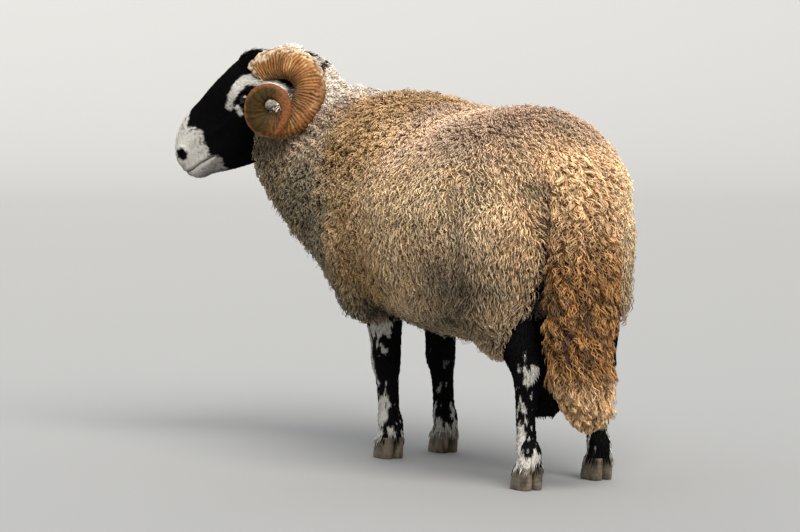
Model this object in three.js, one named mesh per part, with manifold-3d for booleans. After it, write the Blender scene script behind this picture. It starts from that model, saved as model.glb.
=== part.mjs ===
// A standing horned hill ram at life size: black and white face and legs, coiled horns, a deep curly
// fleece and a long woolly tail. It faces -Y with its head turned to its left (+X). Millimetres, +Z up,
// soles on Z = 0, and the origin under the middle of the whole animal.
import * as THREE from "three";
import { mergeVertices } from "three/addons/utils/BufferGeometryUtils.js";
import Module from "manifold-3d";

const wasm = await Module();
wasm.setup();

// ---------------------------------------------------------------- driving dimensions
const GAP = 0.3; // clearance between parts that touch
const COAT = 44; // depth of the fleece on the trunk, skin to tips
const NECK_COAT = 40;
const THIGH_COAT = 34;
const TAIL_COAT = 24;
const CORE = 0.45; // share of the fleece's depth that is a plain core; the rest is clumps
const CLUMP_SIDES = 6;
const CLUMP_PROFILE = [[0, -1.2], [0.95, -1], [0.76, 0.5], [0, 1]]; // radius and height of a clump
const CLUMP_OVERLAP = 1.15; // width of a clump over the distance between clumps
const CLUMP_LEAN = 0.2; // how far a clump leans the way the wool lies
const CLUMP_KEPT = 0.5; // share of a clump that has to stand clear of the neighbouring coats
const ROW_SHARE = 0.87; // distance between rows over the distance between clumps

// Sections of the trunk's skin, front end first: y, middle x, middle z, half width, rise and drop.
const TRUNK = [
  [-480, 0, 485, 104, 100, 104],
  [-390, -4, 520, 142, 142, 162],
  [-300, -6, 552, 156, 178, 196],
  [-200, -4, 550, 174, 190, 200],
  [-80, 0, 540, 190, 188, 206],
  [40, 0, 535, 200, 184, 206],
  [150, 0, 545, 194, 184, 196],
  [240, 0, 560, 170, 171, 178],
  [310, 0, 566, 140, 149, 160],
  [345, 0, 564, 120, 132, 150],
];
const TRUNK_FRONT = -484;
const TRUNK_BACK = 345;
const TRUNK_FRONT_CAP = 150; // length over which the brisket rounds off
const TRUNK_BACK_CAP = 140;

// The neck's line, then its half width, rise and drop at each share of that line.
const NECK_LINE = [
  [0, -220, 560],
  [4, -320, 590],
  [34, -420, 640],
  [82, -495, 705],
  [118, -535, 780],
];
const NECK = [
  [0, 130, 150, 190],
  [0.25, 126, 126, 205],
  [0.5, 104, 104, 190],
  [0.75, 72, 76, 142],
  [1, 44, 58, 96],
];
const NECK_CUT = { at: [0, -385, 585], normal: [0, -0.907, 0.42] }; // plane from withers to brisket

// Columns of level sections: height, x, y, half width, half depth forward, half depth back.
const SHOULDER = [
  [600, 120, -255, 50, 90, 90],
  [480, 124, -262, 56, 86, 84],
  [400, 112, -272, 48, 66, 62],
  [345, 98, -280, 34, 40, 38],
  [306, 84, -284, 12, 12, 12],
];
const SHOULDER_COAT = 30;
const THIGH = [
  [640, 95, 205, 76, 120, 100],
  [540, 110, 208, 80, 124, 110],
  [460, 112, 214, 73, 108, 104],
  [420, 110, 214, 68, 96, 94],
  [380, 113, 211, 57, 80, 79],
  [335, 111, 210, 41, 50, 52],
  [295, 105, 216, 25, 20, 24],
  [268, 97, 222, 10, 8, 8],
];
const THIGH_CUT = { at: [0, 215, 470], normal: [0, 0.622, -0.783] }; // plane from flank to tail root
const HIND_LEG = [
  [400, 26, -42, 44, 56, 58],
  [370, 23, -36, 41, 55, 54],
  [330, 19, -31, 38, 54, 50],
  [285, 14, -26, 35, 50, 46],
  [255, 8, -17, 31, 43, 45],
  [225, 3, -10, 27, 33, 38],
  [195, 1, -13, 24, 28, 29],
  [150, 0, -18, 21, 23, 25],
  [105, 0, -15, 21, 23, 25],
  [80, 0, -10, 25, 26, 29],
  [60, 0, -8, 24, 25, 27],
  [46, 0, -8, 26, 28, 26],
];
const FORE_LEG = [
  [360, 7, -27, 48, 54, 58],
  [330, 5, -28, 44, 48, 52],
  [285, 2, -28, 38, 40, 43],
  [250, 0, -26, 34, 35, 37],
  [215, 0, -24, 33, 33, 32],
  [185, 0, -21, 29, 31, 30],
  [155, 0, -17, 25, 27, 28],
  [110, 0, -13, 24, 26, 27],
  [80, 0, -9, 27, 28, 30],
  [60, 0, -7, 25, 26, 28],
  [46, 0, -9, 27, 28, 26],
];
// Where each foot stands: x and y of the cannon above it.
const FEET = {
  fore_left: [44, -264],
  fore_right: [-108, -278],
  hind_left: [76, 288],
  hind_right: [-132, 246],
};
const CORONET = 46; // height of the top of the hoof

const TAIL = [
  [690, 4, 270, 26, 26, 26],
  [640, 8, 334, 42, 34, 34],
  [570, 12, 370, 50, 32, 34],
  [480, 14, 382, 56, 26, 32],
  [380, 19, 382, 56, 22, 30],
  [290, 22, 380, 49, 20, 28],
  [215, 18, 378, 40, 18, 26],
  [165, 8, 376, 29, 15, 20],
  [126, -4, 374, 6, 6, 8],
];
const TAIL_CUT = { at: [0, 288, 672], normal: [0, 0.5, -0.87] }; // plane across the root of the tail
const SCROTUM = [
  [420, 0, 205, 34, 34, 34],
  [340, 0, 210, 36, 34, 36],
  [270, -2, 214, 46, 40, 42],
  [210, -4, 218, 52, 45, 46],
  [165, -5, 220, 42, 38, 40],
  [138, -6, 222, 18, 16, 18],
];

// The head's own frame starts on its midline level with the eyes.
const HEAD_AT = [204, -608, 765];
const HEAD_TURN = 46.3; // degrees to the animal's left
const HEAD_DIP = 45; // degrees below level
// Along the head from that point: level of the widest line, half width, rise and drop from it.
const HEAD = [
  [-126, -45, 46, 50, 50],
  [-110, -44, 60, 72, 70],
  [-78, -35, 66, 92, 84],
  [-43, -25, 72, 92, 95],
  [0, -12, 76, 80, 109],
  [31, -10, 69, 78, 111],
  [65, -10, 59, 76, 110],
  [99, -10, 50, 76, 97],
  [128, -9, 44, 72, 82],
  [150, -9, 41, 64, 69],
  [170, -9, 38, 54, 57],
  [186, -11, 33, 42, 49],
  [197, -13, 26, 26, 36],
  [205, -15, 14, 10, 18],
];
const MOUTH = [[215, -22], [204, -25], [187, -33], [168, -36], [155, -39], [131, -46]]; // along, level
const NOSTRIL = { at: [184, 24, 6], size: [15, 9, 9] };
const EYE = { at: [-10, 60, -10], radius: 16 };
const EYE_OPENING = [19, 9, 11];

// Each horn winds round a centre beside the head: turn in degrees, distance from the centre, the
// centre's place along and above the head, distance out from the midline, half width in the coil's
// plane and across it.
const HORN = [
  [75, 70, -88, -62, 42, 32, 28],
  [100, 64, -88, -62, 49, 35, 31],
  [140, 58, -88, -62, 60, 34, 30],
  [190, 59, -88, -62, 76, 35, 29],
  [240, 60, -84, -62, 94, 34, 27],
  [290, 58, -71, -65, 110, 31, 24],
  [340, 43, -55, -69, 122, 28, 21],
  [390, 32, -49, -71, 131, 25, 18],
  [440, 32, -49, -71, 139, 22, 16],
  [490, 35, -49, -71, 144, 19, 14],
  [540, 38, -49, -71, 150, 16, 11],
  [590, 42, -49, -71, 155, 12, 9],
  [625, 47, -49, -71, 161, 9, 7],
  [645, 53, -49, -71, 165, 7, 5],
  [656, 58, -49, -71, 168, 3, 3],
];
const HORN_RINGS = 36;
const HORN_SIDES = 7;
const HORN_CLEAR = 3; // the wool stays this far from the horns and ears
const SETTLE = [8, -14]; // the right horn and ear sit this much further along and lower
const RIB = 1.8; // height of the horn's cross ribs

const EAR = {
  root: [-92, 56, -62],
  tip: [-24, 108, -30],
  across: [-0.45, 0.35, 0.82],
  half: [[0, 13], [0.15, 16], [0.4, 26], [0.65, 25], [0.85, 15], [1, 3]],
  cup: 12,
  thick: 5,
};

// ---------------------------------------------------------------- helpers
const V = (x, y, z) => new THREE.Vector3(x, y, z);

// The row of a table at x, on a smooth curve through its rows.
function rowAt(table, x) {
  const last = table.length - 1;
  const up = table[last][0] > table[0][0] ? 1 : -1;
  let i = 0;
  while (i < last - 1 && (table[i + 1][0] - x) * up < 0) i++;
  const [a, b] = [table[i], table[i + 1]];
  const [before, after] = [table[Math.max(i - 1, 0)], table[Math.min(i + 2, last)]];
  const span = b[0] - a[0];
  const t = Math.min(Math.max((x - a[0]) / span, 0), 1);
  return a.slice(1).map((_, k) => {
    const c = k + 1;
    const slopeA = ((b[c] - before[c]) / (b[0] - before[0])) * span;
    const slopeB = ((after[c] - a[c]) / (after[0] - a[0])) * span;
    const t2 = t * t;
    const t3 = t2 * t;
    return (
      a[c] * (2 * t3 - 3 * t2 + 1) +
      slopeA * (t3 - 2 * t2 + t) +
      b[c] * (3 * t2 - 2 * t3) +
      slopeB * (t3 - t2)
    );
  });
}

// How much of full size is left near an end that rounds off over a length.
function cap(distance, length) {
  if (distance >= length) return 1;
  const gone = 1 - Math.max(distance, 0) / length;
  return Math.sqrt(Math.max(1 - gone * gone, 0));
}

// A closed surface over rings of points, each end closed to its middle.
function closedOver(rings) {
  const round = rings[0].length;
  const points = rings.flat();
  const middle = (ring) => ring.reduce((s, p) => s.add(p), V(0, 0, 0)).divideScalar(ring.length);
  const first = points.push(middle(rings[0])) - 1;
  const last = points.push(middle(rings.at(-1))) - 1;
  const index = [];
  for (let r = 0; r < rings.length - 1; r++)
    for (let k = 0; k < round; k++) {
      const [a, b] = [r * round + k, r * round + ((k + 1) % round)];
      index.push(a, b, a + round, b, b + round, a + round);
    }
  const end = (rings.length - 1) * round;
  for (let k = 0; k < round; k++) {
    index.push(first, (k + 1) % round, k);
    index.push(last, end + k, end + ((k + 1) % round));
  }
  return new THREE.BufferGeometry()
    .setAttribute("position", new THREE.Float32BufferAttribute(points.flatMap((p) => p.toArray()), 3))
    .setIndex(index);
}

// A closed mesh as a solid, turned to face out.
function solid(geometry) {
  const bare = geometry.clone().deleteAttribute("normal").deleteAttribute("uv");
  const merged = mergeVertices(bare, 1e-4);
  const source = merged.index.array;
  const kept = [];
  for (let i = 0; i < source.length; i += 3) {
    const [a, b, c] = [source[i], source[i + 1], source[i + 2]];
    if (a !== b && b !== c && c !== a) kept.push(a, b, c);
  }
  const build = (triangles) =>
    new wasm.Manifold(
      new wasm.Mesh({
        numProp: 3,
        vertProperties: merged.attributes.position.array,
        triVerts: new Uint32Array(triangles),
      }),
    );
  const made = build(kept);
  if (made.volume() > 0) return made;
  for (let i = 0; i < kept.length; i += 3) [kept[i + 1], kept[i + 2]] = [kept[i + 2], kept[i + 1]];
  return build(kept);
}

// A seeded draw between 0 and 1.
function drawer(seed) {
  let state = seed >>> 0;
  return () => {
    state = (state + 0x6d2b79f5) >>> 0;
    let t = Math.imul(state ^ (state >>> 15), 1 | state);
    t = (t + Math.imul(t ^ (t >>> 7), 61 | t)) ^ t;
    return ((t ^ (t >>> 14)) >>> 0) / 4294967296;
  };
}

// Many solids joined into one, two by two.
function joined(solids) {
  let level = solids;
  while (level.length > 1) {
    const next = [];
    for (let i = 0; i < level.length; i += 2)
      next.push(i + 1 < level.length ? level[i].add(level[i + 1]) : level[i]);
    level = next;
  }
  return level[0];
}

// The largest closed body of a solid.
function largest(made) {
  return made.decompose().sort((a, b) => b.volume() - a.volume())[0];
}

// The surface point of a form, moved out along its normal.
function lifted(form, t, turn, lift) {
  const step = 2e-3;
  const at = THREE.MathUtils.clamp(t, step, 1 - step);
  const along = form(at + step, turn).sub(form(at - step, turn));
  const round = form(at, turn + step).sub(form(at, turn - step));
  const normal = along.cross(round).normalize();
  return form(t, turn).addScaledVector(normal, lift);
}

// A form as a closed solid, with its surface moved out by a lift: a number, or a function of t.
function formSolid(form, steps, round, lift = 0, spacing = (t) => t) {
  const liftAt = typeof lift === "function" ? lift : () => lift;
  const rings = [];
  for (let i = 0; i <= steps; i++) {
    const t = spacing(i / steps);
    rings.push(Array.from({ length: round }, (_, k) => lifted(form, t, k / round, liftAt(t))));
  }
  return solid(closedOver(rings));
}

// Rings closer together towards both ends.
const easedBothEnds = (t) => 0.5 - 0.5 * Math.cos(Math.PI * t);

// A point on an oval with its own rise and drop; turn 0 is the +side, a quarter turn is up.
function oval(turn, half, rise, drop, power = 2) {
  const angle = turn * 2 * Math.PI;
  const squash = (v) => Math.sign(v) * Math.abs(v) ** (2 / power);
  const up = squash(Math.sin(angle));
  return [half * squash(Math.cos(angle)), up * (up > 0 ? rise : drop)];
}

// Everything on the side of a plane that its normal points to, from a distance past the plane.
const FAR = 3000;
function beyond({ at, normal }, distance) {
  const out = V(...normal).normalize();
  const box = new THREE.BoxGeometry(FAR, FAR, FAR);
  box.applyQuaternion(new THREE.Quaternion().setFromUnitVectors(V(0, 0, 1), out));
  const middle = V(...at).addScaledVector(out, distance + FAR / 2);
  return solid(box.translate(...middle));
}

// An ellipsoid: centre, radii, and the frame it is turned in.
function ellipsoid(at, radii, frame = new THREE.Matrix4(), detail = [12, 8]) {
  const ball = new THREE.SphereGeometry(1, ...detail).scale(...radii).translate(...at);
  return solid(ball.applyMatrix4(frame));
}

// ---------------------------------------------------------------- forms
function trunk(t, turn) {
  const y = THREE.MathUtils.lerp(TRUNK_FRONT, TRUNK_BACK, t);
  const [x, z, half, rise, drop] = rowAt(TRUNK, y);
  const size = cap(y - TRUNK_FRONT, TRUNK_FRONT_CAP) * cap(TRUNK_BACK - y, TRUNK_BACK_CAP);
  const [side, up] = oval(turn, half * size, rise * size, drop * size, 2.2);
  return V(x + side, y, z + up);
}

const neckCurve = new THREE.CatmullRomCurve3(NECK_LINE.map((p) => V(...p)));
function neck(t, turn) {
  const middle = neckCurve.getPoint(t);
  const forward = neckCurve.getTangent(t);
  const left = V(0, 0, 1).cross(forward).normalize();
  const up = forward.clone().cross(left);
  const [half, rise, drop] = rowAt(NECK, t);
  const [side, lift] = oval(turn, half, rise, drop);
  return middle.addScaledVector(left, -side).addScaledVector(up, lift);
}

// A column of level sections, longer at both ends by a growth; mirror is -1 on the right side.
function column(table, mirror = 1, foot = [0, 0], growth = 0) {
  const [top, bottom] = [table[0][0], table.at(-1)[0]];
  return (t, turn) => {
    const z = THREE.MathUtils.lerp(top + growth, bottom - growth, t);
    const [x, y, half, forward, back] = rowAt(table, z);
    const [side, behind] = oval(turn, half, back, forward);
    return V(foot[0] + mirror * x + side, foot[1] + y + behind, z);
  };
}

const turnAngle = THREE.MathUtils.degToRad(HEAD_TURN);
const dipAngle = THREE.MathUtils.degToRad(HEAD_DIP);
const headForward = V(
  Math.sin(turnAngle) * Math.cos(dipAngle),
  -Math.cos(turnAngle) * Math.cos(dipAngle),
  -Math.sin(dipAngle),
);
const headLeft = V(Math.cos(turnAngle), Math.sin(turnAngle), 0);
const headUp = headForward.clone().cross(headLeft);
const headFrame = new THREE.Matrix4().makeBasis(headForward, headLeft, headUp).setPosition(...HEAD_AT);

function skull(t, turn) {
  const along = THREE.MathUtils.lerp(HEAD[0][0], HEAD.at(-1)[0], t);
  const [level, half, rise, drop] = rowAt(HEAD, along);
  const [side, up] = oval(turn, half, rise, drop, 2.25);
  return V(along, -side, level + up).applyMatrix4(headFrame);
}

// The horn as a tube on its coil; side is 1 on the left, -1 on the right.
function horn(side, growth = 0) {
  const [first, last] = [HORN[0][0], HORN.at(-1)[0]];
  const centre = (degrees) => {
    const [distance, along, level, out] = rowAt(HORN, degrees);
    const angle = THREE.MathUtils.degToRad(degrees);
    const [ahead, up] = side < 0 ? SETTLE : [0, 0];
    return V(along + ahead + distance * Math.cos(angle), side * out, level + up + distance * Math.sin(angle));
  };
  return (t, turn) => {
    const degrees = THREE.MathUtils.lerp(first, last, t);
    const [, , , , wide, thin] = rowAt(HORN, degrees);
    const middle = centre(degrees);
    const tangent = centre(degrees + 0.5).sub(centre(degrees - 0.5)).normalize();
    const angle = THREE.MathUtils.degToRad(degrees);
    const outward = V(Math.cos(angle), 0, Math.sin(angle));
    const across = tangent.clone().cross(outward).normalize();
    const radial = across.clone().cross(tangent);
    const rib = RIB * Math.cos(t * HORN_RINGS * Math.PI) * Math.min(wide / 20, 1);
    const [r, c] = oval(turn, wide + rib + growth, thin + rib + growth, thin + rib + growth, 2.3);
    middle.addScaledVector(tangent, -growth * Math.max(1 - t * HORN_RINGS, 0));
    return middle.addScaledVector(radial, r).addScaledVector(across, c).applyMatrix4(headFrame);
  };
}

// The ear as a cupped leaf.
function ear(side, growth = 0) {
  const [ahead, up] = side < 0 ? SETTLE : [0, 0];
  const place = ([along, out, level]) => V(along, side * out, level);
  const root = place(EAR.root).add(V(ahead, 0, up));
  const line = place(EAR.tip).sub(place(EAR.root));
  const along = line.clone().normalize();
  const front = along.clone().cross(place(EAR.across)).normalize().multiplyScalar(side);
  const across = front.clone().cross(along).normalize();
  return (t, turn) => {
    const [half] = rowAt(EAR.half, t);
    const angle = turn * 2 * Math.PI;
    const share = (Math.cos(angle) * (half + growth)) / half;
    const skin = (EAR.thick / 2) * (1 - 0.5 * t) + growth;
    const depth = EAR.cup * (half / 26) * (share * share - 0.5) + skin * Math.sin(angle);
    return root
      .clone()
      .addScaledVector(along, -growth * Math.max(1 - 8 * t, 0))
      .addScaledVector(line, t)
      .addScaledVector(across, share * half)
      .addScaledVector(front, depth)
      .applyMatrix4(headFrame);
  };
}

// One claw of a hoof, from its flat sole to its top.
const CLAW = [
  [0, 12.4, -12, 12.8, 37, 24],
  [10, 12.6, -12, 13.2, 36, 26],
  [CORONET, 12.2, -9, 13, 26, 26],
];
function claw(side, foot) {
  return (t, turn) => {
    const z = THREE.MathUtils.lerp(CORONET - GAP, 0, t);
    const [x, y, half, forward, back] = rowAt(CLAW, z);
    const [out, behind] = oval(turn, half, back, forward, 2.5);
    return V(foot[0] + side * x + out, foot[1] + y + behind, z);
  };
}

// ---------------------------------------------------------------- small helpers of the assembly
const SIDES = { left: 1, right: -1 };
const MIDLINE = (side) => ({ at: [0, 0, 0], normal: [side, 0, 0] });
const nodes = {};
const pockets = []; // the forms that others close round, larger by the gap

// Keeps a form whole as a node, and makes room for it in what lies round it.
function sunk(name, make) {
  nodes[name] = make(0);
  pockets.push(make(GAP));
}

// ---------------------------------------------------------------- legs and hooves
const hoof = (foot) => joined([-1, 1].map((side) => formSolid(claw(side, foot), 2, 10)));

function leg(table, mirror, foot, growth) {
  const shank = formSolid(column(table, mirror, foot, growth), table.length, 9, growth);
  if (growth > 0) return shank;
  const dewclaw = (side) => ellipsoid([foot[0] + side * 12, foot[1] + 20, 66], [7, 9, 12], undefined, [5, 4]);
  return joined([shank, dewclaw(-1), dewclaw(1)]);
}

for (const [side, mirror] of Object.entries(SIDES)) {
  for (const [limb, table] of [["fore", FORE_LEG], ["hind", HIND_LEG]]) {
    const foot = FEET[`${limb}_${side}`];
    sunk(`${limb}leg_${side}`, (growth) => leg(table, mirror, foot, growth));
    nodes[`hoof_${limb}_${side}`] = hoof(foot);
  }
}
sunk("scrotum", (growth) => formSolid(column(SCROTUM, 1, [0, 0], growth), 7, 9, growth));

// ---------------------------------------------------------------- head
const inHead = ([along, out, level], side = 1) => [along, side * out, level];

// A thin ribbon along the line where the lips meet, across the whole muzzle.
function mouthLine(thick) {
  const outline = new THREE.Shape();
  MOUTH.forEach(([along, level], i) => outline[i ? "lineTo" : "moveTo"](along, level + thick / 2));
  [...MOUTH].reverse().forEach(([along, level]) => outline.lineTo(along, level - thick / 2));
  const plate = new THREE.ExtrudeGeometry(outline, { depth: 120, bevelEnabled: false });
  return solid(plate.rotateX(Math.PI / 2).translate(0, 60, 0).applyMatrix4(headFrame));
}

function lids(side) {
  const [along, high] = EYE_OPENING;
  const rim = new THREE.TorusGeometry(1, 0.24, 3, 9).scale(along, high, 12);
  const [x, , z] = EYE.at;
  return solid(rim.rotateX(Math.PI / 2).translate(x, side * (EYE.at[1] + 15), z).applyMatrix4(headFrame));
}

const bareHead = formSolid(skull, 20, 18);
let head = joined([bareHead, lids(1), lids(-1)]).subtract(mouthLine(2.4));
for (const [name, side] of Object.entries(SIDES)) {
  head = head.subtract(ellipsoid(inHead(NOSTRIL.at, side), NOSTRIL.size, headFrame, [6, 4]));
  const opening = inHead([EYE.at[0], EYE.at[1] + 19, EYE.at[2]], side);
  head = head.subtract(ellipsoid(opening, EYE_OPENING, headFrame, [7, 4]));
  const ball = (growth) => {
    const sphere = new THREE.IcosahedronGeometry(EYE.radius + growth, 1);
    return solid(sphere.translate(...inHead(EYE.at, side)).applyMatrix4(headFrame));
  };
  nodes[`eye_${name}`] = ball(0);
  head = head.subtract(ball(GAP));
  nodes[`horn_${name}`] = formSolid(horn(side), HORN_RINGS, HORN_SIDES);
  nodes[`ear_${name}`] = formSolid(ear(side), 8, 9);
  head = head.subtract(formSolid(horn(side, GAP), HORN_RINGS, HORN_SIDES));
  head = head.subtract(formSolid(ear(side, GAP), 8, 9));
  pockets.push(formSolid(horn(side, HORN_CLEAR), HORN_RINGS / 2, HORN_SIDES));
  pockets.push(formSolid(ear(side, HORN_CLEAR), 8, 9));
}
nodes.head = largest(head);
pockets.push(formSolid(skull, 20, 18, GAP));

// ---------------------------------------------------------------- fleece
const even = (depth) => () => depth;
const tapered = (depth) => (t) => depth * cap(1 - t, 0.12); // a coat that closes over the lower end

// Every fleeced form: steps and sides of its plain core, the coat's depth, and how far apart its clumps are.
const legWool = (table, mirror, shift, steps, depth, seed) => {
  return { form: column(table, mirror, shift), steps, round: 8, depth: tapered(depth), spacing: 100, seed };
};
const FLEECE = {
  trunk: { form: trunk, steps: 12, round: 12, depth: even(COAT), spacing: 114, seed: 11 },
  neck: { form: neck, steps: 5, round: 10, depth: even(NECK_COAT), spacing: 102, seed: 12 },
  thigh_left: legWool(THIGH, 1, [0, 0], 6, THIGH_COAT, 13),
  thigh_right: legWool(THIGH, -1, [-10, -36], 6, THIGH_COAT, 14),
  shoulder_left: legWool(SHOULDER, 1, [-6, 0], 4, SHOULDER_COAT, 15),
  shoulder_right: legWool(SHOULDER, -1, [-16, -8], 4, SHOULDER_COAT, 16),
  tail: { form: column(TAIL), steps: 8, round: 8, depth: tapered(TAIL_COAT), spacing: 97, seed: 17 },
};

// The share t at the middle of each of a form's rows, spaced evenly over its surface.
function rowsOver(form, spacing) {
  const STEPS = 120;
  const step = (i, turn) => form(i / STEPS, turn).distanceTo(form((i - 1) / STEPS, turn)) / 4;
  const lengths = [0];
  for (let i = 1; i <= STEPS; i++)
    lengths.push(lengths.at(-1) + step(i, 0) + step(i, 0.25) + step(i, 0.5) + step(i, 0.75));
  const rows = Math.round(lengths.at(-1) / spacing);
  return Array.from({ length: rows }, (_, row) => {
    const wanted = (lengths.at(-1) * (row + 0.5)) / rows;
    const i = lengths.findIndex((length) => length >= wanted);
    return (i - (lengths[i] - wanted) / (lengths[i] - lengths[i - 1])) / STEPS;
  });
}

function girth(form, t) {
  const CHORDS = 24;
  let sum = 0;
  for (let k = 0; k < CHORDS; k++) sum += form(t, k / CHORDS).distanceTo(form(t, (k + 1) / CHORDS));
  return sum;
}

// One rounded clump: a low dome on its point of the skin, leaning the way the wool lies.
const clumpProfile = CLUMP_PROFILE.map((p) => new THREE.Vector2(...p));
const clumpShape = new THREE.LatheGeometry(clumpProfile, CLUMP_SIDES);
function clump(form, t, turn, depth, size, vary) {
  const skin = form(t, turn);
  const out = lifted(form, t, turn, 1).sub(skin);
  const along = form(t + 0.01, turn).sub(form(t - 0.01, turn)).normalize();
  const up = out.clone().addScaledVector(along, CLUMP_LEAN * vary(0.6)).normalize();
  const side = up.clone().cross(along).normalize();
  const ahead = side.clone().cross(up);
  const rise = depth * (1 - CORE) * vary(0.15);
  side.multiplyScalar(size * vary(0.1));
  ahead.multiplyScalar(size * vary(0.1));
  const frame = new THREE.Matrix4().makeBasis(side, up.multiplyScalar(rise), ahead);
  frame.setPosition(skin.addScaledVector(out, depth - rise));
  return solid(clumpShape.clone().rotateY(0.2 * (vary(1) - 1)).applyMatrix4(frame));
}

// Clumps in staggered rows all over a form, without those that lie mostly inside a neighbour's coat.
function clumps({ form, depth, spacing, seed }, neighbours) {
  const draw = drawer(seed);
  const vary = (share) => 1 + share * (2 * draw() - 1);
  const kept = [];
  rowsOver(form, spacing * ROW_SHARE).forEach((t, row) => {
    const around = Math.max(Math.round(girth(form, t) / spacing), 3);
    for (let k = 0; k < around; k++) {
      const turn = (k + (row % 2) / 2 + 0.16 * (draw() - 0.5)) / around;
      const at = THREE.MathUtils.clamp(t * vary(0.01), 0.012, 0.988);
      const made = clump(form, at, turn, depth(at), (spacing * CLUMP_OVERLAP) / 2, vary);
      const bare = neighbours.reduce((rest, coat) => rest.subtract(coat), made);
      if (bare.volume() > CLUMP_KEPT * made.volume()) kept.push(made);
    }
  });
  return kept;
}

// A fleeced form as a solid out to a share of its coat's depth.
const coated = ({ form, steps, round, depth }, share) =>
  formSolid(form, steps, round, (t) => depth(t) * share, form === trunk ? easedBothEnds : undefined);

const wool = Object.entries(FLEECE).flatMap(([name, one]) => {
  const others = Object.keys(FLEECE).filter((other) => other !== name);
  return [coated(one, CORE), ...clumps(one, others.map((other) => coated(FLEECE[other], 0.72)))];
});
const wholeFleece = joined(wool).subtract(joined(pockets));

// Each part is what lies in its own region, half a gap inside its bounds.
const MARGIN = 30; // by which a thigh's region reaches past its coat
const TAIL_MARGIN = 10;
const tailRegion = (lift) =>
  formSolid(FLEECE.tail.form, 10, 12, TAIL_COAT + TAIL_MARGIN + lift).intersect(beyond(TAIL_CUT, -lift));
const thighRegion = (name, side, lift) =>
  formSolid(FLEECE[name].form, 8, 12, THIGH_COAT + MARGIN + lift)
    .intersect(beyond(THIGH_CUT, -lift))
    .intersect(beyond(MIDLINE(side), -lift));
nodes.neck = largest(wholeFleece.intersect(beyond(NECK_CUT, GAP / 2)));
nodes.tail = largest(wholeFleece.intersect(tailRegion(-GAP / 2)));
let torso = wholeFleece.subtract(tailRegion(GAP / 2));
for (const [name, side] of Object.entries(SIDES)) {
  const thigh = `thigh_${name}`;
  nodes[thigh] = largest(torso.intersect(thighRegion(thigh, side, -GAP / 2)));
  torso = torso.subtract(thighRegion(thigh, side, GAP / 2));
}
nodes.torso = largest(torso.subtract(beyond(NECK_CUT, -GAP / 2)));

// ---------------------------------------------------------------- assembly
const FINISH = {
  fleece: [0xb79f7c, 0.95],
  face: [0x1b1917, 0.8],
  leg: [0x2a2724, 0.8],
  horn: [0x9c7045, 0.55],
  ear: [0xc9c4ba, 0.85],
  eye: [0x2b1c10, 0.15],
  hoof: [0xa79d8c, 0.6],
};
const FINISH_OF = {
  head: "face",
  scrotum: "leg",
  foreleg: "leg",
  hindleg: "leg",
  horn: "horn",
  ear: "ear",
  eye: "eye",
  hoof: "hoof",
};

const ram = new THREE.Group();
for (const [name, made] of Object.entries(nodes)) {
  const { vertProperties, triVerts } = made.getMesh();
  const geometry = new THREE.BufferGeometry()
    .setAttribute("position", new THREE.BufferAttribute(new Float32Array(vertProperties), 3))
    .setIndex(new THREE.BufferAttribute(new Uint32Array(triVerts), 1));
  const [color, roughness] = FINISH[FINISH_OF[name.split("_")[0]] ?? "fleece"];
  const mesh = new THREE.Mesh(geometry, new THREE.MeshStandardMaterial({ color, roughness, metalness: 0 }));
  mesh.name = name;
  ram.add(mesh);
}
const middle = new THREE.Box3().setFromObject(ram).getCenter(V(0, 0, 0));
ram.position.set(-middle.x, -middle.y, 0);
export default ram;
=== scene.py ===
"""A standing horned hill ram: one skin, a fleece of thin wavy locks, short tufts on the face and legs, ribbed
horns, eyes and hooves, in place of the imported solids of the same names."""

import bpy
import numpy as np
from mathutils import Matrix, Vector
from mathutils.bvhtree import BVHTree
from mathutils.kdtree import KDTree


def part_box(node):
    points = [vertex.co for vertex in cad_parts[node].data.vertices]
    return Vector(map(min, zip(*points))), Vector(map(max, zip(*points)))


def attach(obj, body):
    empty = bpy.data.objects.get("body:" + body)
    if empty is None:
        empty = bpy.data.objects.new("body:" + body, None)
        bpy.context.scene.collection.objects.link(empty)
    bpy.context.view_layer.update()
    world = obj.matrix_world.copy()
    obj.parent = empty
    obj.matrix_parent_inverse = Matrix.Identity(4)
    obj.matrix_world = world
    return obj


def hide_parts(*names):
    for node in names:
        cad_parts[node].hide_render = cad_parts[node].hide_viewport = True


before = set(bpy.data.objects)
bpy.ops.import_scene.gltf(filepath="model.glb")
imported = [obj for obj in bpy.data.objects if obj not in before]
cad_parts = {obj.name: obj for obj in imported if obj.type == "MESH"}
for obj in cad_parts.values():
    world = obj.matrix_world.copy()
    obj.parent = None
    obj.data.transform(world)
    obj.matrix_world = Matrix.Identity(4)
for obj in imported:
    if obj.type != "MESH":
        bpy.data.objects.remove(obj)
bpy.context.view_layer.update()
MM = 0.001
SIDES = {"left": 1, "right": -1}

# ---- sizes in millimetres, as the solids have them
COAT = 44  # depth of the fleece on the trunk, flesh to tips
NECK_COAT = 40
THIGH_COAT = 34
SHOULDER_COAT = 30
TAIL_COAT = 24
CORE = 0.45  # share of that depth at which the skin lies; the locks reach from there to the tips

# y, middle x, middle z, half width, rise and drop
TRUNK = [
    [-480, 0, 485, 104, 100, 104],
    [-390, -4, 520, 142, 142, 162],
    [-300, -6, 552, 156, 178, 196],
    [-200, -4, 550, 174, 190, 200],
    [-80, 0, 540, 190, 188, 206],
    [40, 0, 535, 200, 184, 206],
    [150, 0, 545, 194, 184, 196],
    [240, 0, 560, 170, 171, 178],
    [310, 0, 566, 140, 149, 160],
    [345, 0, 564, 120, 132, 150],
]
TRUNK_FRONT, TRUNK_BACK = -484, 345
TRUNK_FRONT_CAP, TRUNK_BACK_CAP = 150, 140

NECK_LINE = [[0, -220, 560], [4, -320, 590], [34, -420, 640], [82, -495, 705], [118, -535, 780]]
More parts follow.
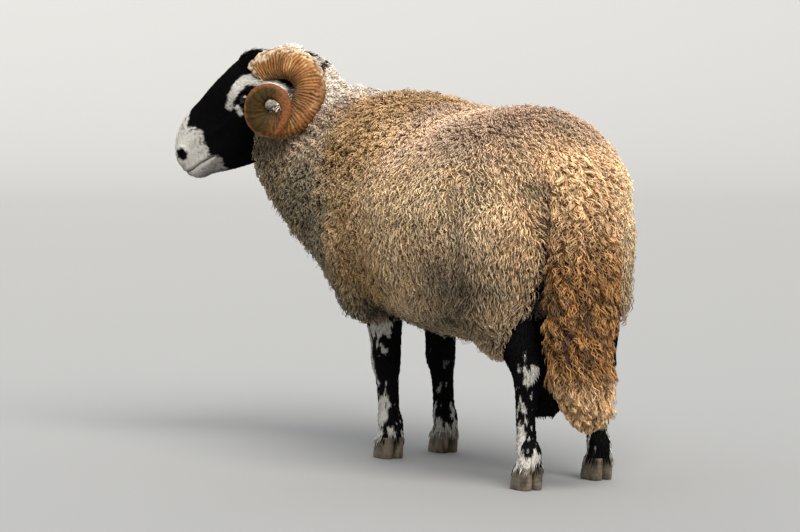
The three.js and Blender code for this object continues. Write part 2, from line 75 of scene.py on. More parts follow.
# share of the line, half width, rise and drop
NECK = [[0, 130, 150, 190], [0.25, 126, 126, 205], [0.5, 104, 104, 190], [0.75, 72, 76, 142], [1, 44, 58, 96]]

# height, x, y, half width, half depth forward and back
SHOULDER = [
    [600, 120, -255, 50, 90, 90],
    [480, 124, -262, 56, 86, 84],
    [400, 112, -272, 48, 66, 62],
    [345, 98, -280, 34, 40, 38],
    [306, 84, -284, 12, 12, 12],
]
THIGH = [
    [640, 95, 205, 76, 120, 100],
    [540, 110, 208, 80, 124, 110],
    [460, 112, 214, 73, 108, 104],
    [420, 110, 214, 68, 96, 94],
    [380, 113, 211, 57, 80, 79],
    [335, 111, 210, 41, 50, 52],
    [295, 105, 216, 25, 20, 24],
    [268, 97, 222, 10, 8, 8],
]
HIND_LEG = [
    [400, 26, -42, 44, 56, 58],
    [370, 23, -36, 41, 55, 54],
    [330, 19, -31, 38, 54, 50],
    [285, 14, -26, 35, 50, 46],
    [255, 8, -17, 31, 43, 45],
    [225, 3, -10, 27, 33, 38],
    [195, 1, -13, 24, 28, 29],
    [150, 0, -18, 21, 23, 25],
    [105, 0, -15, 21, 23, 25],
    [80, 0, -10, 25, 26, 29],
    [60, 0, -8, 24, 25, 27],
    [46, 0, -8, 26, 28, 26],
]
FORE_LEG = [
    [360, 7, -27, 48, 54, 58],
    [330, 5, -28, 44, 48, 52],
    [285, 2, -28, 38, 40, 43],
    [250, 0, -26, 34, 35, 37],
    [215, 0, -24, 33, 33, 32],
    [185, 0, -21, 29, 31, 30],
    [155, 0, -17, 25, 27, 28],
    [110, 0, -13, 24, 26, 27],
    [80, 0, -9, 27, 28, 30],
    [60, 0, -7, 25, 26, 28],
    [46, 0, -9, 27, 28, 26],
]
FEET = {
    "fore_left": (44, -264),
    "fore_right": (-108, -278),
    "hind_left": (76, 288),
    "hind_right": (-132, 246),
}
CORONET = 46
CLAW = [[0, 12.4, -12, 12.8, 37, 24], [10, 12.6, -12, 13.2, 36, 26], [CORONET, 12.2, -9, 13, 26, 26]]
TAIL = [
    [690, 4, 270, 26, 26, 26],
    [640, 8, 334, 42, 34, 34],
    [570, 12, 370, 50, 32, 34],
    [480, 14, 382, 56, 26, 32],
    [380, 19, 382, 56, 22, 30],
    [290, 22, 380, 49, 20, 28],
    [215, 18, 378, 40, 18, 26],
    [165, 8, 376, 29, 15, 20],
    [126, -4, 374, 6, 6, 8],
]
SCROTUM = [
    [420, 0, 205, 34, 34, 34],
    [340, 0, 210, 36, 34, 36],
    [270, -2, 214, 46, 40, 42],
    [210, -4, 218, 52, 45, 46],
    [165, -5, 220, 42, 38, 40],
    [138, -6, 222, 18, 16, 18],
]
HEAD_AT = (204, -608, 765)
HEAD_TURN, HEAD_DIP = np.radians(46.3), np.radians(45)
# along the head: level, half width, rise and drop
HEAD = [
    [-126, -45, 46, 50, 50],
    [-110, -44, 60, 72, 70],
    [-78, -35, 66, 92, 84],
    [-43, -25, 72, 92, 95],
    [0, -12, 76, 80, 109],
    [31, -10, 69, 78, 111],
    [65, -10, 59, 76, 110],
    [99, -10, 50, 76, 97],
    [128, -9, 44, 72, 82],
    [150, -9, 41, 64, 69],
    [170, -9, 38, 54, 57],
    [186, -11, 33, 42, 49],
    [197, -13, 26, 26, 36],
    [205, -15, 14, 10, 18],
]
MOUTH = [[215, -22], [204, -25], [187, -33], [168, -36], [155, -39], [131, -46]]
NOSTRIL = [[175, 13], [185, 8], [191, 0]]  # the line of its slit, along and level
EYE_AT, EYE_RADIUS = (-10, 60, -10), 16
# turn in degrees, distance, the centre along and above, out from the midline, half width and half thickness
HORN = [
    [75, 70, -88, -62, 42, 32, 28],
    [100, 64, -88, -62, 49, 35, 31],
    [140, 58, -88, -62, 60, 34, 30],
    [190, 59, -88, -62, 76, 35, 29],
    [240, 60, -84, -62, 94, 34, 27],
    [290, 58, -71, -65, 110, 31, 24],
    [340, 43, -55, -69, 122, 28, 21],
    [390, 32, -49, -71, 131, 25, 18],
    [440, 32, -49, -71, 139, 22, 16],
    [490, 35, -49, -71, 144, 19, 14],
    [540, 38, -49, -71, 150, 16, 11],
    [590, 42, -49, -71, 155, 12, 9],
    [625, 47, -49, -71, 161, 9, 7],
    [645, 53, -49, -71, 165, 7, 5],
    [656, 58, -49, -71, 168, 3, 3],
]
SCROTUM_MIDDLE = 218  # its cleft's y
SETTLE = (8, -14)  # the right horn and ear sit this much further along and lower
EAR_ROOT, EAR_TIP, EAR_ACROSS = (-92, 56, -62), (-24, 108, -30), (-0.45, 0.35, 0.82)
EAR_HALF = [[0, 13], [0.15, 16], [0.4, 26], [0.65, 25], [0.85, 15], [1, 3]]
EAR_CUP, EAR_THICK = 12, 5

# ---- where the animal stands in the frame
turn_c, turn_s = np.cos(HEAD_TURN), np.sin(HEAD_TURN)
dip_c, dip_s = np.cos(HEAD_DIP), np.sin(HEAD_DIP)
FORWARD = np.array([turn_s * dip_c, -turn_c * dip_c, -dip_s])
LEFT = np.array([turn_c, turn_s, 0])
UP = np.cross(FORWARD, LEFT)


def split(points):
    """The coordinates of points as arrays of their own."""
    return np.moveaxis(points, -1, 0)


def stacked(x, y, z):
    """Points from their coordinates, each a number or an array."""
    return np.stack(np.broadcast_arrays(x, y, z), -1)


def in_head(along, out, level):
    """Points in the animal's frame, from how far along the head, out to its left and above they are."""
    parts = zip(np.broadcast_arrays(along, out, level), (FORWARD, LEFT, UP))
    return np.array(HEAD_AT) + sum(part[..., None] * axis for part, axis in parts)


def to_head(points):
    """The head's own coordinates of points in the animal's."""
    return (points - np.array(HEAD_AT)) @ np.stack([FORWARD, LEFT, UP], 1)


def head_axes(points):
    """How far along the head, out to its left and above points are."""
    return split(to_head(points))


def head_plane(a, b):
    """Across and up in the photo's view of the head's side, from along and above in the head's frame."""
    return -(a + b) / 1.43, (b - a) / 1.43


def rightward(x, y):
    """How far to the right points of the level plane lie in the photo."""
    return 0.57 * y - 0.82 * x


low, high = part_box("eye_left")
ORIGIN = np.array((low + high) / 2) - in_head(*EYE_AT) * MM  # the animal's own zero in the frame

# ---- small tools
rng = np.random.default_rng(734)


def row_at(table, x):
    """The row of a table at x, on a smooth curve through its rows."""
    rows = np.array(table, float)
    key, x = rows[:, 0], np.asarray(x, float)
    up = np.sign(key[-1] - key[0])
    i = np.clip(np.searchsorted(key * up, x * up) - 1, 0, len(key) - 2)
    before, after = np.maximum(i - 1, 0), np.minimum(i + 2, len(key) - 1)
    span = key[i + 1] - key[i]
    t = np.clip((x - key[i]) / span, 0, 1)[..., None]
    a, b = rows[i, 1:], rows[i + 1, 1:]
    slope_a = (b - rows[before, 1:]) * (span / (key[i + 1] - key[before]))[..., None]
    slope_b = (rows[after, 1:] - a) * (span / (key[after] - key[i]))[..., None]
    t2, t3 = t * t, t * t * t
    row = a * (2 * t3 - 3 * t2 + 1) + slope_a * (t3 - 2 * t2 + t)
    return split(row + b * (3 * t2 - 2 * t3) + slope_b * (t3 - t2))


def cap(distance, length):
    """A rounded end: its size at a distance from the tip."""
    return np.sqrt(np.clip(1 - np.clip(1 - distance / length, 0, 1) ** 2, 0, 1))


def unit(v):
    return v / np.maximum(np.linalg.norm(v, axis=-1, keepdims=True), 1e-9)


def smooth(x, low, high):
    t = np.clip((x - low) / (high - low), 0, 1)
    return t * t * (3 - 2 * t)


def fall(x, until, gone):
    """1 up to the first value and 0 from the second on."""
    return smooth(-x, -gone, -until)


def band(x, start, full, past, end):
    """1 between the inner two values and 0 beyond the outer two."""
    return smooth(x, start, full) * fall(x, past, end)


def hump(distance, width):
    return np.exp(-((distance / width) ** 2))


def oval(turn, half, rise, drop, power=2.0):
    """A ring's places to the side and up, squarer than an ellipse where power is over 2."""
    angle = 2 * np.pi * turn
    side, up = (np.sign(v) * np.abs(v) ** (2 / power) for v in (np.cos(angle), np.sin(angle)))
    return half * side, up * np.where(up > 0, rise, drop)


def hashed(cell, seed):
    """A number from 0 to 1 for each cell of a grid."""
    x, y, z = split(cell)
    h = (x * 374761393 + y * 668265263 + z * 2147483647 + seed * 1274126177) & 0xFFFFFFFF
    h = ((h ^ (h >> 13)) * 1274126177) & 0xFFFFFFFF
    h = ((h ^ (h >> 16)) * 2246822519) & 0xFFFFFFFF
    return (h >> 8).astype(float) / 0xFFFFFF


def noise(points, scale, seed):
    """Smooth noise from -1 to 1 with features of the given size."""
    p = points / scale
    cell = np.floor(p).astype(np.int64)
    f = p - cell
    f = f * f * (3 - 2 * f)
    total = 0
    for corner in range(8):
        step = np.array([(corner >> k) & 1 for k in range(3)])
        weight = np.prod(np.where(step, f, 1 - f), axis=-1)
        total = total + weight * hashed(cell + step, seed)
    return 2 * total - 1


def rough_noise(points, scale, seed):
    return sum(share * noise(points, scale / 2**k, seed + k) for k, share in enumerate((0.6, 0.3, 0.15)))


def near_line(a, b, line):
    """Distance of points in a plane from a line of points."""
    best = np.full(np.broadcast(a, b).shape, 1e9)
    for (a0, b0), (a1, b1) in zip(line, line[1:]):
        da, db = a1 - a0, b1 - b0
        t = np.clip(((a - a0) * da + (b - b0) * db) / (da * da + db * db), 0, 1)
        best = np.minimum(best, np.hypot(a - a0 - t * da, b - b0 - t * db))
    return best


# ---- forms: share along and turn to a point
def trunk(t, turn):
    y = TRUNK_FRONT + (TRUNK_BACK - TRUNK_FRONT) * t
    x, z, half, rise, drop = row_at(TRUNK, y)
    size = cap(y - TRUNK_FRONT, TRUNK_FRONT_CAP) * cap(TRUNK_BACK - y, TRUNK_BACK_CAP)
    side, up = oval(turn, half * size, rise * size, drop * size, 2.2)
    return stacked(x + side, y, z + up)


def neck_curve(t):
    """A centripetal Catmull-Rom curve through the neck's line."""
    line = np.array(NECK_LINE, float)
    line = np.vstack([2 * line[0] - line[1], line, 2 * line[-1] - line[-2]])
    place = np.clip(t, 0, 1) * (len(NECK_LINE) - 1)
    i = np.minimum(place.astype(int), len(NECK_LINE) - 2)
    w = (place - i)[..., None]
    corners = [line[i + k] for k in range(4)]
    d0, d1, d2 = (np.linalg.norm(b - a, axis=-1, keepdims=True) ** 0.5 for a, b in zip(corners, corners[1:]))
    p0, p1, p2, p3 = corners
    t1 = ((p1 - p0) / d0 - (p2 - p0) / (d0 + d1) + (p2 - p1) / d1) * d1
    t2 = ((p2 - p1) / d1 - (p3 - p1) / (d1 + d2) + (p3 - p2) / d2) * d1
    return p1 + t1 * w + (-3 * p1 + 3 * p2 - 2 * t1 - t2) * w**2 + (2 * p1 - 2 * p2 + t1 + t2) * w**3


def neck(t, turn):
    t, turn = np.broadcast_arrays(np.asarray(t, float), turn)
    forward = unit(neck_curve(np.clip(t + 1e-3, 0, 1)) - neck_curve(np.clip(t - 1e-3, 0, 1)))
    left = unit(np.cross([0, 0, 1], forward))
    half, rise, drop = row_at(NECK, t)
    side, lift = oval(turn, half, rise, drop)
    return neck_curve(t) - left * side[..., None] + np.cross(forward, left) * lift[..., None]


def column(table, mirror=1, foot=(0, 0)):
    def form(t, turn):
        z = table[0][0] + (table[-1][0] - table[0][0]) * t
        x, y, half, forward, back = row_at(table, z)
        side, behind = oval(turn, half, back, forward)
        return stacked(foot[0] + mirror * x + side, foot[1] + y + behind, z)

    return form


def skull(t, turn):
    along = HEAD[0][0] + (HEAD[-1][0] - HEAD[0][0]) * t
    level, half, rise, drop = row_at(HEAD, along)
    side, up = oval(turn, half, rise, drop, 2.25)
    return in_head(along, -side, level + up)


def pad(along, level, deep, wide, high):
    """A pad of wool behind the horns, from back to front: its centre and half sizes in the head's frame."""

    def form(t, turn):
        around, ring = 2 * np.pi * turn, np.sin(np.pi * t)
        out, up = -wide * ring * np.cos(around), high * ring * np.sin(around)
        return in_head(along - deep * np.cos(np.pi * t), out, level + up)

    return form


PADS = {"crown": pad(-122, -31, 38, 50, 46), "nape": pad(-134, -90, 46, 50, 66)}


def horn(side):
    ahead, above = SETTLE if side < 0 else (0, 0)

    def centre(degrees):
        distance, along, level, out = row_at(HORN, degrees)[:4]
        angle = np.radians(degrees)
        a, b = along + distance * np.cos(angle), level + distance * np.sin(angle)
        return stacked(a + ahead, side * out, b + above)

    def form(t, turn, swell=0.0):
        degrees = HORN[0][0] + (HORN[-1][0] - HORN[0][0]) * t
        wide, thin = row_at(HORN, degrees)[4:]
        tangent = unit(centre(degrees + 0.5) - centre(degrees - 0.5))
        angle = np.radians(degrees)
        outward = stacked(np.cos(angle), 0, np.sin(angle))
        across = unit(np.cross(tangent, outward))
        radial = np.cross(across, tangent)
        r, c = oval(turn, wide + swell, thin + swell, thin + swell, 2.3)
        return in_head(*split(centre(degrees) + radial * r[..., None] + across * c[..., None]))

    return form


def ear(side):
    root, tip, across = (np.array([p[0], side * p[1], p[2]]) for p in (EAR_ROOT, EAR_TIP, EAR_ACROSS))
    line = tip - root
    if side < 0:
        root = root + [SETTLE[0], 0, SETTLE[1]]
    front = unit(np.cross(unit(line), across)) * side
    across = unit(np.cross(front, unit(line)))

    def form(t, turn):
        (half,) = row_at(EAR_HALF, t)
        angle = 2 * np.pi * turn
        share = np.cos(angle)
        depth = EAR_CUP * (half / 26) * (share**2 - 0.5) + EAR_THICK / 2 * (1 - 0.5 * t) * np.sin(angle)
        t, share, half, depth = np.broadcast_arrays(t, share, half, depth)
        place = root + line * t[..., None] + across * (share * half)[..., None] + front * depth[..., None]
        return in_head(*split(place))

    return form


def claw(side, foot):
    def form(t, turn):
        z = CORONET * (1 - t)
        x, y, half, forward, back = row_at(CLAW, z)
        out, behind = oval(turn, half, back, forward, 2.5)
        return stacked(foot[0] + side * x + out, foot[1] + y + behind, z)

    return form


def frame_of(form, t, turn, step=2e-3):
    """A form's outward normal and its direction along, at points of it."""
    at = np.clip(t, step, 1 - step)
    along = form(at + step, turn) - form(at - step, turn)
    around = form(at, turn + step) - form(at, turn - step)
    return unit(np.cross(along, around)), unit(along)


# ---- folds of the fleece
def combed(p):
    """How straight the wool lies: combed on the thighs and flank, tightly curled on shoulders and neck."""
    return smooth(p[..., 1], -190, -60)


def ruff(p):
    """Where the wool lies in thick rolls, behind the horns."""
    y, z = p[..., 1], p[..., 2]
    return smooth(-y, 335, 395) * smooth(y, -505, -455) * smooth(z - 0.25 * y, 715, 765)


def haunch_edge(p):
    """The shallow groove ahead of each haunch."""
    x, y, z = split(p)
    return hump(y - 205 - 0.12 * (585 - z), 17) * smooth(np.abs(x), 110, 160) * band(z, 350, 420, 570, 640)


def folds(p, normal):
    """The fleece's folds at points of it: their height, and how deep in a crease from 0 to 1."""
    _, y, z = split(p)
    side = smooth(np.abs(normal[..., 0]), 0.4, 0.8)
    flank = hump(y - 15, 125) * band(z, 360, 430, 600, 690) * side
    haunch = band(y, 130, 190, 280, 330) * band(z, 330, 380, 620, 680) * side
    behind = smooth(y, 290, 330) * band(z, 190, 260, 610, 660)
    waves = [  # phase, its noises (share, upright squeeze, size and seed), where, height, and how dark the painted shade in its creases is
        (y / 12.5, ((0.45, 0.3, 60, 121), (0.12, 0.5, 22, 122)), flank, 4.0, 0.95),
        ((y + 0.3 * (z - 480)) / 15, ((0.55, 0.4, 50, 141), (0.2, 1, 18, 142)), haunch, 2.6, 0.7),
        (z / 19, ((0.6, 1, 42, 143), (0.3, 1, 16, 144)), behind, 4.4, 0.85),
        ((z + 0.35 * y) / 19, ((0.5, 1, 45, 123), (0.3, 1, 18, 124)), ruff(p), 6.5, 1.0),
    ]
    curls, loose = noise(p, 13, 145), 1 - combed(p)
    height = 2.6 * noise(p, 85, 125) + 2.0 * noise(p, 34, 126) + 2.6 * curls * loose
    dark = np.maximum(0.5 * smooth(-curls, 0.05, 0.5) * loose, 0.4 * haunch_edge(p))
    for phase, noises, where, high, deep in waves:
        for share, squeeze, size, seed in noises:
            phase = phase + share * noise(p * [1, 1, squeeze], size, seed)
        top = 1 - 2 * (0.5 - 0.5 * np.cos(2 * np.pi * phase)) ** 2
        height = height + high * (top - 0.3) * where
        dark = np.maximum(dark, deep * smooth(-top, -0.3, 0.9) * where)
    return height, dark


def relief(p, normal):
    """Height of the fleece at points of it over its core: its folds and its larger forms."""
    x, y, z = split(p)
    top = smooth(normal[..., 2], 0.1, 0.7)
    withers = smooth(-y, 150, 330) * smooth(y, -485, -430) * top
    rump = smooth(rightward(x, y), 100, 190) * smooth(y, 150, 230) * top
    tuck = smooth(-rightward(x, y), -60, 10) * fall(z, 310, 360) * (x > 40) * (y > 130)
    return folds(p, normal)[0] + 6 * ruff(p) - 9 * haunch_edge(p) + 18 * withers - 12 * rump - 13 * tuck


def fold_shade(p, normal):
    """Painted shade of the folds: how light they are, dark in the creases."""
    return (1 + 0.1 * noise(p, 34, 126)) * (1 - 0.55 * folds(p, normal)[1])


def woolly(form, depth):
    """A fleeced form's skin: out to the fleece's core, with its folds."""

    def out(t, turn):
        t, turn = np.broadcast_arrays(np.asarray(t, float), turn)
        normal, deep = frame_of(form, t, turn)[0], depth(t)
        core = form(t, turn) + normal * (CORE * deep)[..., None]
        return core + normal * (relief(core, normal) * np.minimum(deep / 26, 1))[..., None]

    return out


def sunk(form, low, high, deep):
    """A form drawn in by a depth from one height up to another, where it runs into the trunk."""

    def drawn_in(t, turn):
        points = form(t, turn)
        return points - frame_of(form, t, turn)[0] * (deep * smooth(points[..., 2], low, high))[..., None]

    return drawn_in


def even(depth):
    return lambda t: np.full(np.shape(t), float(depth))


def tapered(depth):
    """A coat that thins out at the form's end."""
    return lambda t: depth * cap(1 - t, 0.12)


# ---- colours (linear)
def rgb(*srgb):
    c = np.array(srgb) / 255
    return np.where(c < 0.04045, c / 12.92, ((c + 0.055) / 1.055) ** 2.4)


CREAM = rgb(186, 157, 130)
SAND = rgb(246, 219, 176)
DUN = rgb(182, 147, 98)
GREY = rgb(140, 131, 106)
TAWNY = rgb(238, 202, 154)
THIGH_BROWN = rgb(112, 95, 72)
BROWN = rgb(142, 102, 56)
WHITE = rgb(196, 192, 184)
NAPE_WHITE = rgb(240, 230, 216)
ROLL_GREY = rgb(206, 182, 156)
PALE = rgb(238, 210, 180)
BLACK = rgb(15, 15, 15)
FACE_BLACK = rgb(6, 6, 6)
CRUST = rgb(206, 180, 146)
AMBER = rgb(124, 79, 38)
OLIVE = rgb(60, 43, 7)
RIM = rgb(112, 66, 32)
DARK_HORN = rgb(40, 25, 13)
NONE = np.zeros(3)


def mixed(a, b, share):
    return a + (b - a) * np.asarray(share)[..., None]


def layered(colour, *layers):
    """A colour with others laid over it by their shares. NONE darkens, and lightens by a negative share."""
    for other, share in layers:
        colour = mixed(colour, other, share)
    return colour


def spot(p, at, size, fray=0.25, seed=131):
    """1 inside a blot round a point, with a frayed edge: its centre and its half size."""
    d = np.linalg.norm((p - np.array(at)) / np.array(size, float), axis=-1)
    return smooth(-d + fray * noise(p, 14, seed), -1.12, -0.88)


def wool_colour(p):
    """The fleece's colour: cream back, sand flank, dun shoulder, tawny rump, grey neck and belly, with
    painted shade beside the tail and in the fold before the thigh, and painted light on the loin band and the
    right of the rump.
    """
    x, y, z = split(p)
    patch = rough_noise(p, 130, 5)
    back = smooth(z + 46 * patch + 0.10 * y, 610, 735)
    withers = smooth(-y - 0.5 * (z - 700), 50, 120) * smooth(z, 590, 650) * smooth(y, -420, -330)
    shoulder = hump(np.hypot(y + 215, (z - 470) * 0.62), 175) * (1 + 0.35 * patch) * (1 - 0.7 * back)
    rump = smooth(y, 235, 340) * smooth(z, 330, 420) * (1 + 0.3 * patch)
    belly = smooth(-z + 16 * patch, -395, -345) * fall(np.abs(x), 120, 190) * fall(y, 120, 200)
    under_rump = hump(x - 14, 60) * smooth(y, 295, 340) * fall(z, 460, 620)
    # painted shade in the crease between the tail and each thigh
    shade_beside_tail = hump(np.abs(x - 14) - 64, 15) * smooth(y, 260, 310) * band(z, 330, 400, 600, 660)
    return layered(
        SAND,
        (CREAM, back),
        (DUN, 0.8 * withers * (1 + 0.4 * patch)),
        # a paler band over the loin and hip: partly the wool's own paler colour, partly a painted highlight
        # where light catches it
        (PALE, 0.65 * hump(y + 30 - 0.9 * (z - 660), 55) * smooth(z, 590, 640)),
        (DUN, np.clip(0.95 * shoulder, 0, 1)),
        (TAWNY, np.clip(0.85 * rump, 0, 1)),
        (THIGH_BROWN, 0.95 * hump(np.hypot((y - 205) * 0.9, z - 400), 150)),
        (GREY, 0.9 * smooth(-y - 0.35 * (z - 620) + 34 * patch, 280, 450)),
        (NONE, 0.16 * smooth(-y, 250, 330) * fall(z, 600, 680)),
        (ROLL_GREY, 0.8 * ruff(p)),
        (NAPE_WHITE, smooth(-y, 350, 430) * smooth(z - 0.3 * y, 840, 890)),
        (GREY * 0.8, 0.75 * belly),
        (TAWNY, 0.35 * smooth(rough_noise(p, 70, 6), 0.0, 0.6)),
        (GREY * 1.2, 0.3 * smooth(rough_noise(p, 60, 7), 0.1, 0.6)),
        (GREY * 0.9, 0.5 * spot(p, (109, 317, 608), (18, 26, 20), 0.6)),
        # painted shade: the dark fold on the lower flank in front of the left thigh
        (GREY * 0.45, 0.8 * spot(p, (138, 92, 352), (44, 24, 14), 0.6, 136)),
        (BLACK * 3, 0.85 * spot(p, (78, -205, 338), (52, 42, 30), 0.5, 132)),
        (BLACK, spot(p, (64, 312, 385), (36, 32, 52), 0.3, 135)),
        (BROWN * 1.1, 0.6 * under_rump),
        # painted shade beside the tail
        (NONE, 0.65 * shade_beside_tail),
        # painted light: the right of the rump lightened where light falls on it
        (NONE, -0.2 * smooth(-x, 70, 130) * smooth(y, 150, 220)),
        (BLACK * 2, 0.9 * nape_patch(p)),
    )


def nape_patch(p):
    """The two black patches on the white nape's left side."""
    a, c, b = head_axes(p)
    across, up = head_plane(a, b)
    ragged = 0.3 * noise(p, 9, 133)
    upper = np.hypot((across - 142) / 15, (up - 95) / 15) + ragged
    lower = np.hypot((across - 175) / 8, (up - 54) / 23) + ragged
    return smooth(-np.minimum(upper, lower), -1.15, -0.85) * smooth(c, -16, -6)


def pad_colour(p):
    """White wool behind the horns, black towards the forelock."""
    along = to_head(p)[..., 0]
    white = mixed(NAPE_WHITE, CREAM, 0.15 + 0.2 * noise(p, 20, 82))
    return mixed(white, BLACK * 1.5, np.maximum(smooth(along, -88, -80), nape_patch(p)))


def tail_colour(p):
    z = p[..., 2] + 16 * noise(p, 60, 81)
    # painted shade in dark gaps between the tail's locks, over its middle
    shaded_gaps = smooth(noise(p * [1, 1, 0.5], 15, 84), 0.0, 0.5) * band(z, 235, 280, 380, 470)
    top = mixed(BROWN, mixed(TAWNY, BROWN, 0.35), smooth(z, 440, 610))
    colour = mixed(top, mixed(TAWNY, BROWN, 0.5), fall(z, 225, 275))
    return colour * ((1.22 - 0.2 * smooth(z, 400, 560)) * (1 - 0.7 * shaded_gaps))[..., None]


# depth below the head's middle, negated, and where the white muzzle begins there
MUZZLE = [
    [-61, 104], [-46, 124], [-39, 125], [-17, 109], [-1, 115],
    [18, 125], [30, 131], [43, 128], [57, 120], [77, 135],
]
CRESCENT = [[-56, 6], [-38, 18], [-15, 18], [8, 12], [24, 1]]
UNDER_EYE = [[12, -15], [14, -21], [15, -28]]
BY_EAR = [[-62, 2], [-79, -40], [-88, -84]]


def face_white(p):
    """How white the face is at points of it."""
    a, c, b = head_axes(p)
    across, up = head_plane(a, b)
    fray = 4.5 * noise(p, 9, 21) + 3.5 * noise(p, 4, 22)
    muzzle_edge = row_at(MUZZLE, -b)[0]
    muzzle = smooth(a - muzzle_edge + fray, -2.5, 2.5)
    speckle = smooth(noise(p, 4.5, 23), 0.0, 0.45) * hump(a - muzzle_edge, 24)
    side = smooth(np.abs(c), 26, 34)
    crescent = smooth(-near_line(a, b, CRESCENT) + 0.5 * fray - 3 * smooth(a, -20, 15), -12.5, -10)
    under = smooth(-near_line(a, b, UNDER_EYE) + 0.5 * fray, -7, -5)
    white = np.maximum(muzzle * (1 - 0.8 * speckle), np.maximum(crescent, under) * side)
    nostril = np.hypot((across + 130) / 13.5, (up + 121) / 12.5) + 0.04 * fray
    dark = fall(nostril, 0.85, 1.1) * smooth(np.abs(c), 6, 10)
    lip = hump(near_line(a, b, MOUTH), 1.7)
    through_coil = smooth(-np.hypot((a + 44) / 15, (b + 60) / 12) + 0.04 * fray, -1.1, -0.85) * side
    by_ear = smooth(-near_line(a, b, BY_EAR) + fray, -17, -11) * smooth(np.abs(c), 34, 44)
    white = np.maximum(white, np.maximum(through_coil, by_ear))
    return np.clip(white * (1 - dark) * (1 - 0.9 * lip), 0, 1)


# White blots on each leg: turn from its front, positive on the outer side, height, half sizes in turn and
# height, and how mottled they are.
BLOTS = {
    "hind_left": [
        [2.35, 243, 0.6, 25, 0.85], [0.96, 92, 0.42, 66, 1.0], [1.8, 62, 1.5, 20, 1.0],
        [-0.7, 270, 0.4, 22, 1.1], [2.5, 189, 0.25, 5, 0.6],
    ],
    "hind_right": [[2.18, 140, 0.3, 118, 0.35], [-0.96, 70, 0.16, 44, 0.6], [0.5, 56, 1.8, 13, 0.9]],
    "fore_left": [
        [0.5, 228, 0.36, 74, 0.3], [1.0, 92, 0.8, 52, 0.9],
        [0.3, 56, 2.4, 18, 1.0], [1.7, 284, 0.95, 34, 1.2],
    ],
    "fore_right": [[3.0, 96, 0.35, 18, 1.0], [-2.5, 54, 1.7, 18, 0.95], [-1.0, 78, 0.14, 46, 0.6]],
}


def leg_white(p, limb, side, foot):
    """How white a leg is at points of it."""
    x, y, z = split(p)
    turn = np.arctan2(SIDES[side] * (x - foot[0]), -(y - foot[1]))
    blotch = noise(p * [1, 1, 0.7], 20, 31)
    fine = noise(p * [1, 1, 0.6], 7, 35) + 0.55 * noise(p * [1, 1, 0.3], 3.5, 37)
    white = smooth(fine + 0.6 * blotch, 0.98, 1.1) * fall(z, 90, 260) * 0.8
    for at, level, wide, high, mottle in BLOTS[f"{limb}_{side}"]:
        away = np.abs((turn - at + np.pi) % (2 * np.pi) - np.pi)
        inside = 1 - np.hypot(away / wide, (z - level) / high)
        white = np.maximum(white, smooth(inside + mottle * (0.5 * blotch + 0.9 * fine), -0.05, 0.2))
    return np.clip(white, 0, 1)


def leg_tint(p, *leg):
    return mixed(BLACK, WHITE * 1.15, leg_white(p, *leg))


def face_tint(p):
    level = to_head(p)[..., 2]
    # painted light on the upper face, and painted shade under the jaw
    painted_light = 0.80 + 0.22 * smooth(level, 0, 35) - 0.26 * smooth(-level, 42, 62)
    return mixed(FACE_BLACK, WHITE * painted_light[..., None], face_white(p))


def ear_tint(p):
    """White hair on the ears, with a few dark flecks."""
    return mixed(NAPE_WHITE, BLACK * 4, 0.7 * smooth(noise(p, 9, 61), 0.45, 0.6))


# ---- materials
def valued(made, **values):
    """A node with constants set on its own sockets."""
    for key, value in values.items():
        made.inputs[key.replace("_", " ")].default_value = value
    return made


def plain(name, **values):
    """A material of one shader, and that shader."""
    made = bpy.data.materials.new(name)
    made.use_nodes = True
    return made, valued(made.node_tree.nodes["Principled BSDF"], **values)


def grained(name, scale, low, high, bump, distance, detail=4.0, stretch=None, **values):
    """The mesh's own tint times a fine noise from low to high, with its bump, distance metres deep."""
    made, shader = plain(name, **values)
    tree = made.node_tree

    def node(kind, **values):
        return valued(tree.nodes.new(f"ShaderNode{kind}"), **values)

    tint = node("Attribute")
    tint.attribute_name = "tint"
    source = node("TexCoord").outputs["Object"]
    if stretch:
        mapping = node("Mapping", Scale=stretch)
        tree.links.new(source, mapping.inputs["Vector"])
        source = mapping.outputs["Vector"]
    grain = node("TexNoise", Scale=scale, Detail=detail)
    ramp = node("MapRange", From_Min=0.3, From_Max=0.7, To_Min=low, To_Max=high)
    scaled = node("VectorMath")
    scaled.operation = "SCALE"
    relief = node("Bump", Strength=bump, Distance=distance)
    for start, end in (
        (source, grain.inputs["Vector"]),
        (grain.outputs["Fac"], ramp.inputs["Value"]),
        (tint.outputs["Color"], scaled.inputs[0]),
        (ramp.outputs["Result"], scaled.inputs["Scale"]),
        (scaled.outputs["Vector"], shader.inputs["Base Color"]),
        (grain.outputs["Fac"], relief.inputs["Height"]),
        (relief.outputs["Normal"], shader.inputs["Normal"]),
    ):
        tree.links.new(start, end)
    return made


WOOL = grained("wool", 230, 0.58, 1.46, 0.6, 0.0015, 3.0, Roughness=0.95, Sheen_Weight=0.12,
               Sheen_Roughness=0.6, Specular_IOR_Level=0.15)
HAIR = grained("hair", 700, 0.7, 1.3, 0.4, 0.0006, Roughness=0.85, Specular_IOR_Level=0.06)
SKIN = grained("skin", 500, 0.8, 1.2, 0.6, 0.0010, Roughness=0.9, Specular_IOR_Level=0.06)
HORN_STUFF = grained("horn", 260, 0.66, 1.34, 0.8, 0.0014, 8.0, Roughness=0.7, Specular_IOR_Level=0.22)
HOOF_STUFF = grained("hoof", 180, 0.75, 1.2, 0.5, 0.0009, 6.0, (1, 1, 0.25), Roughness=0.6)
EYE_STUFF = grained("eye", 900, 0.9, 1.1, 0.05, 0.0002, Roughness=0.12, Specular_IOR_Level=0.3,
                    Coat_Weight=0.25, Coat_Roughness=0.05)


# ---- meshes
def placed(points):
    return np.asarray(points) * MM + ORIGIN


def measured(points):
    """Points of the frame in the animal's own millimetres."""
    return (points - ORIGIN) / MM


def linked(name, mesh):
    made = bpy.data.objects.new(name, mesh)
    bpy.context.scene.collection.objects.link(made)
    return made


def smoothed(mesh):
    mesh.polygons.foreach_set("use_smooth", np.ones(len(mesh.polygons), bool))


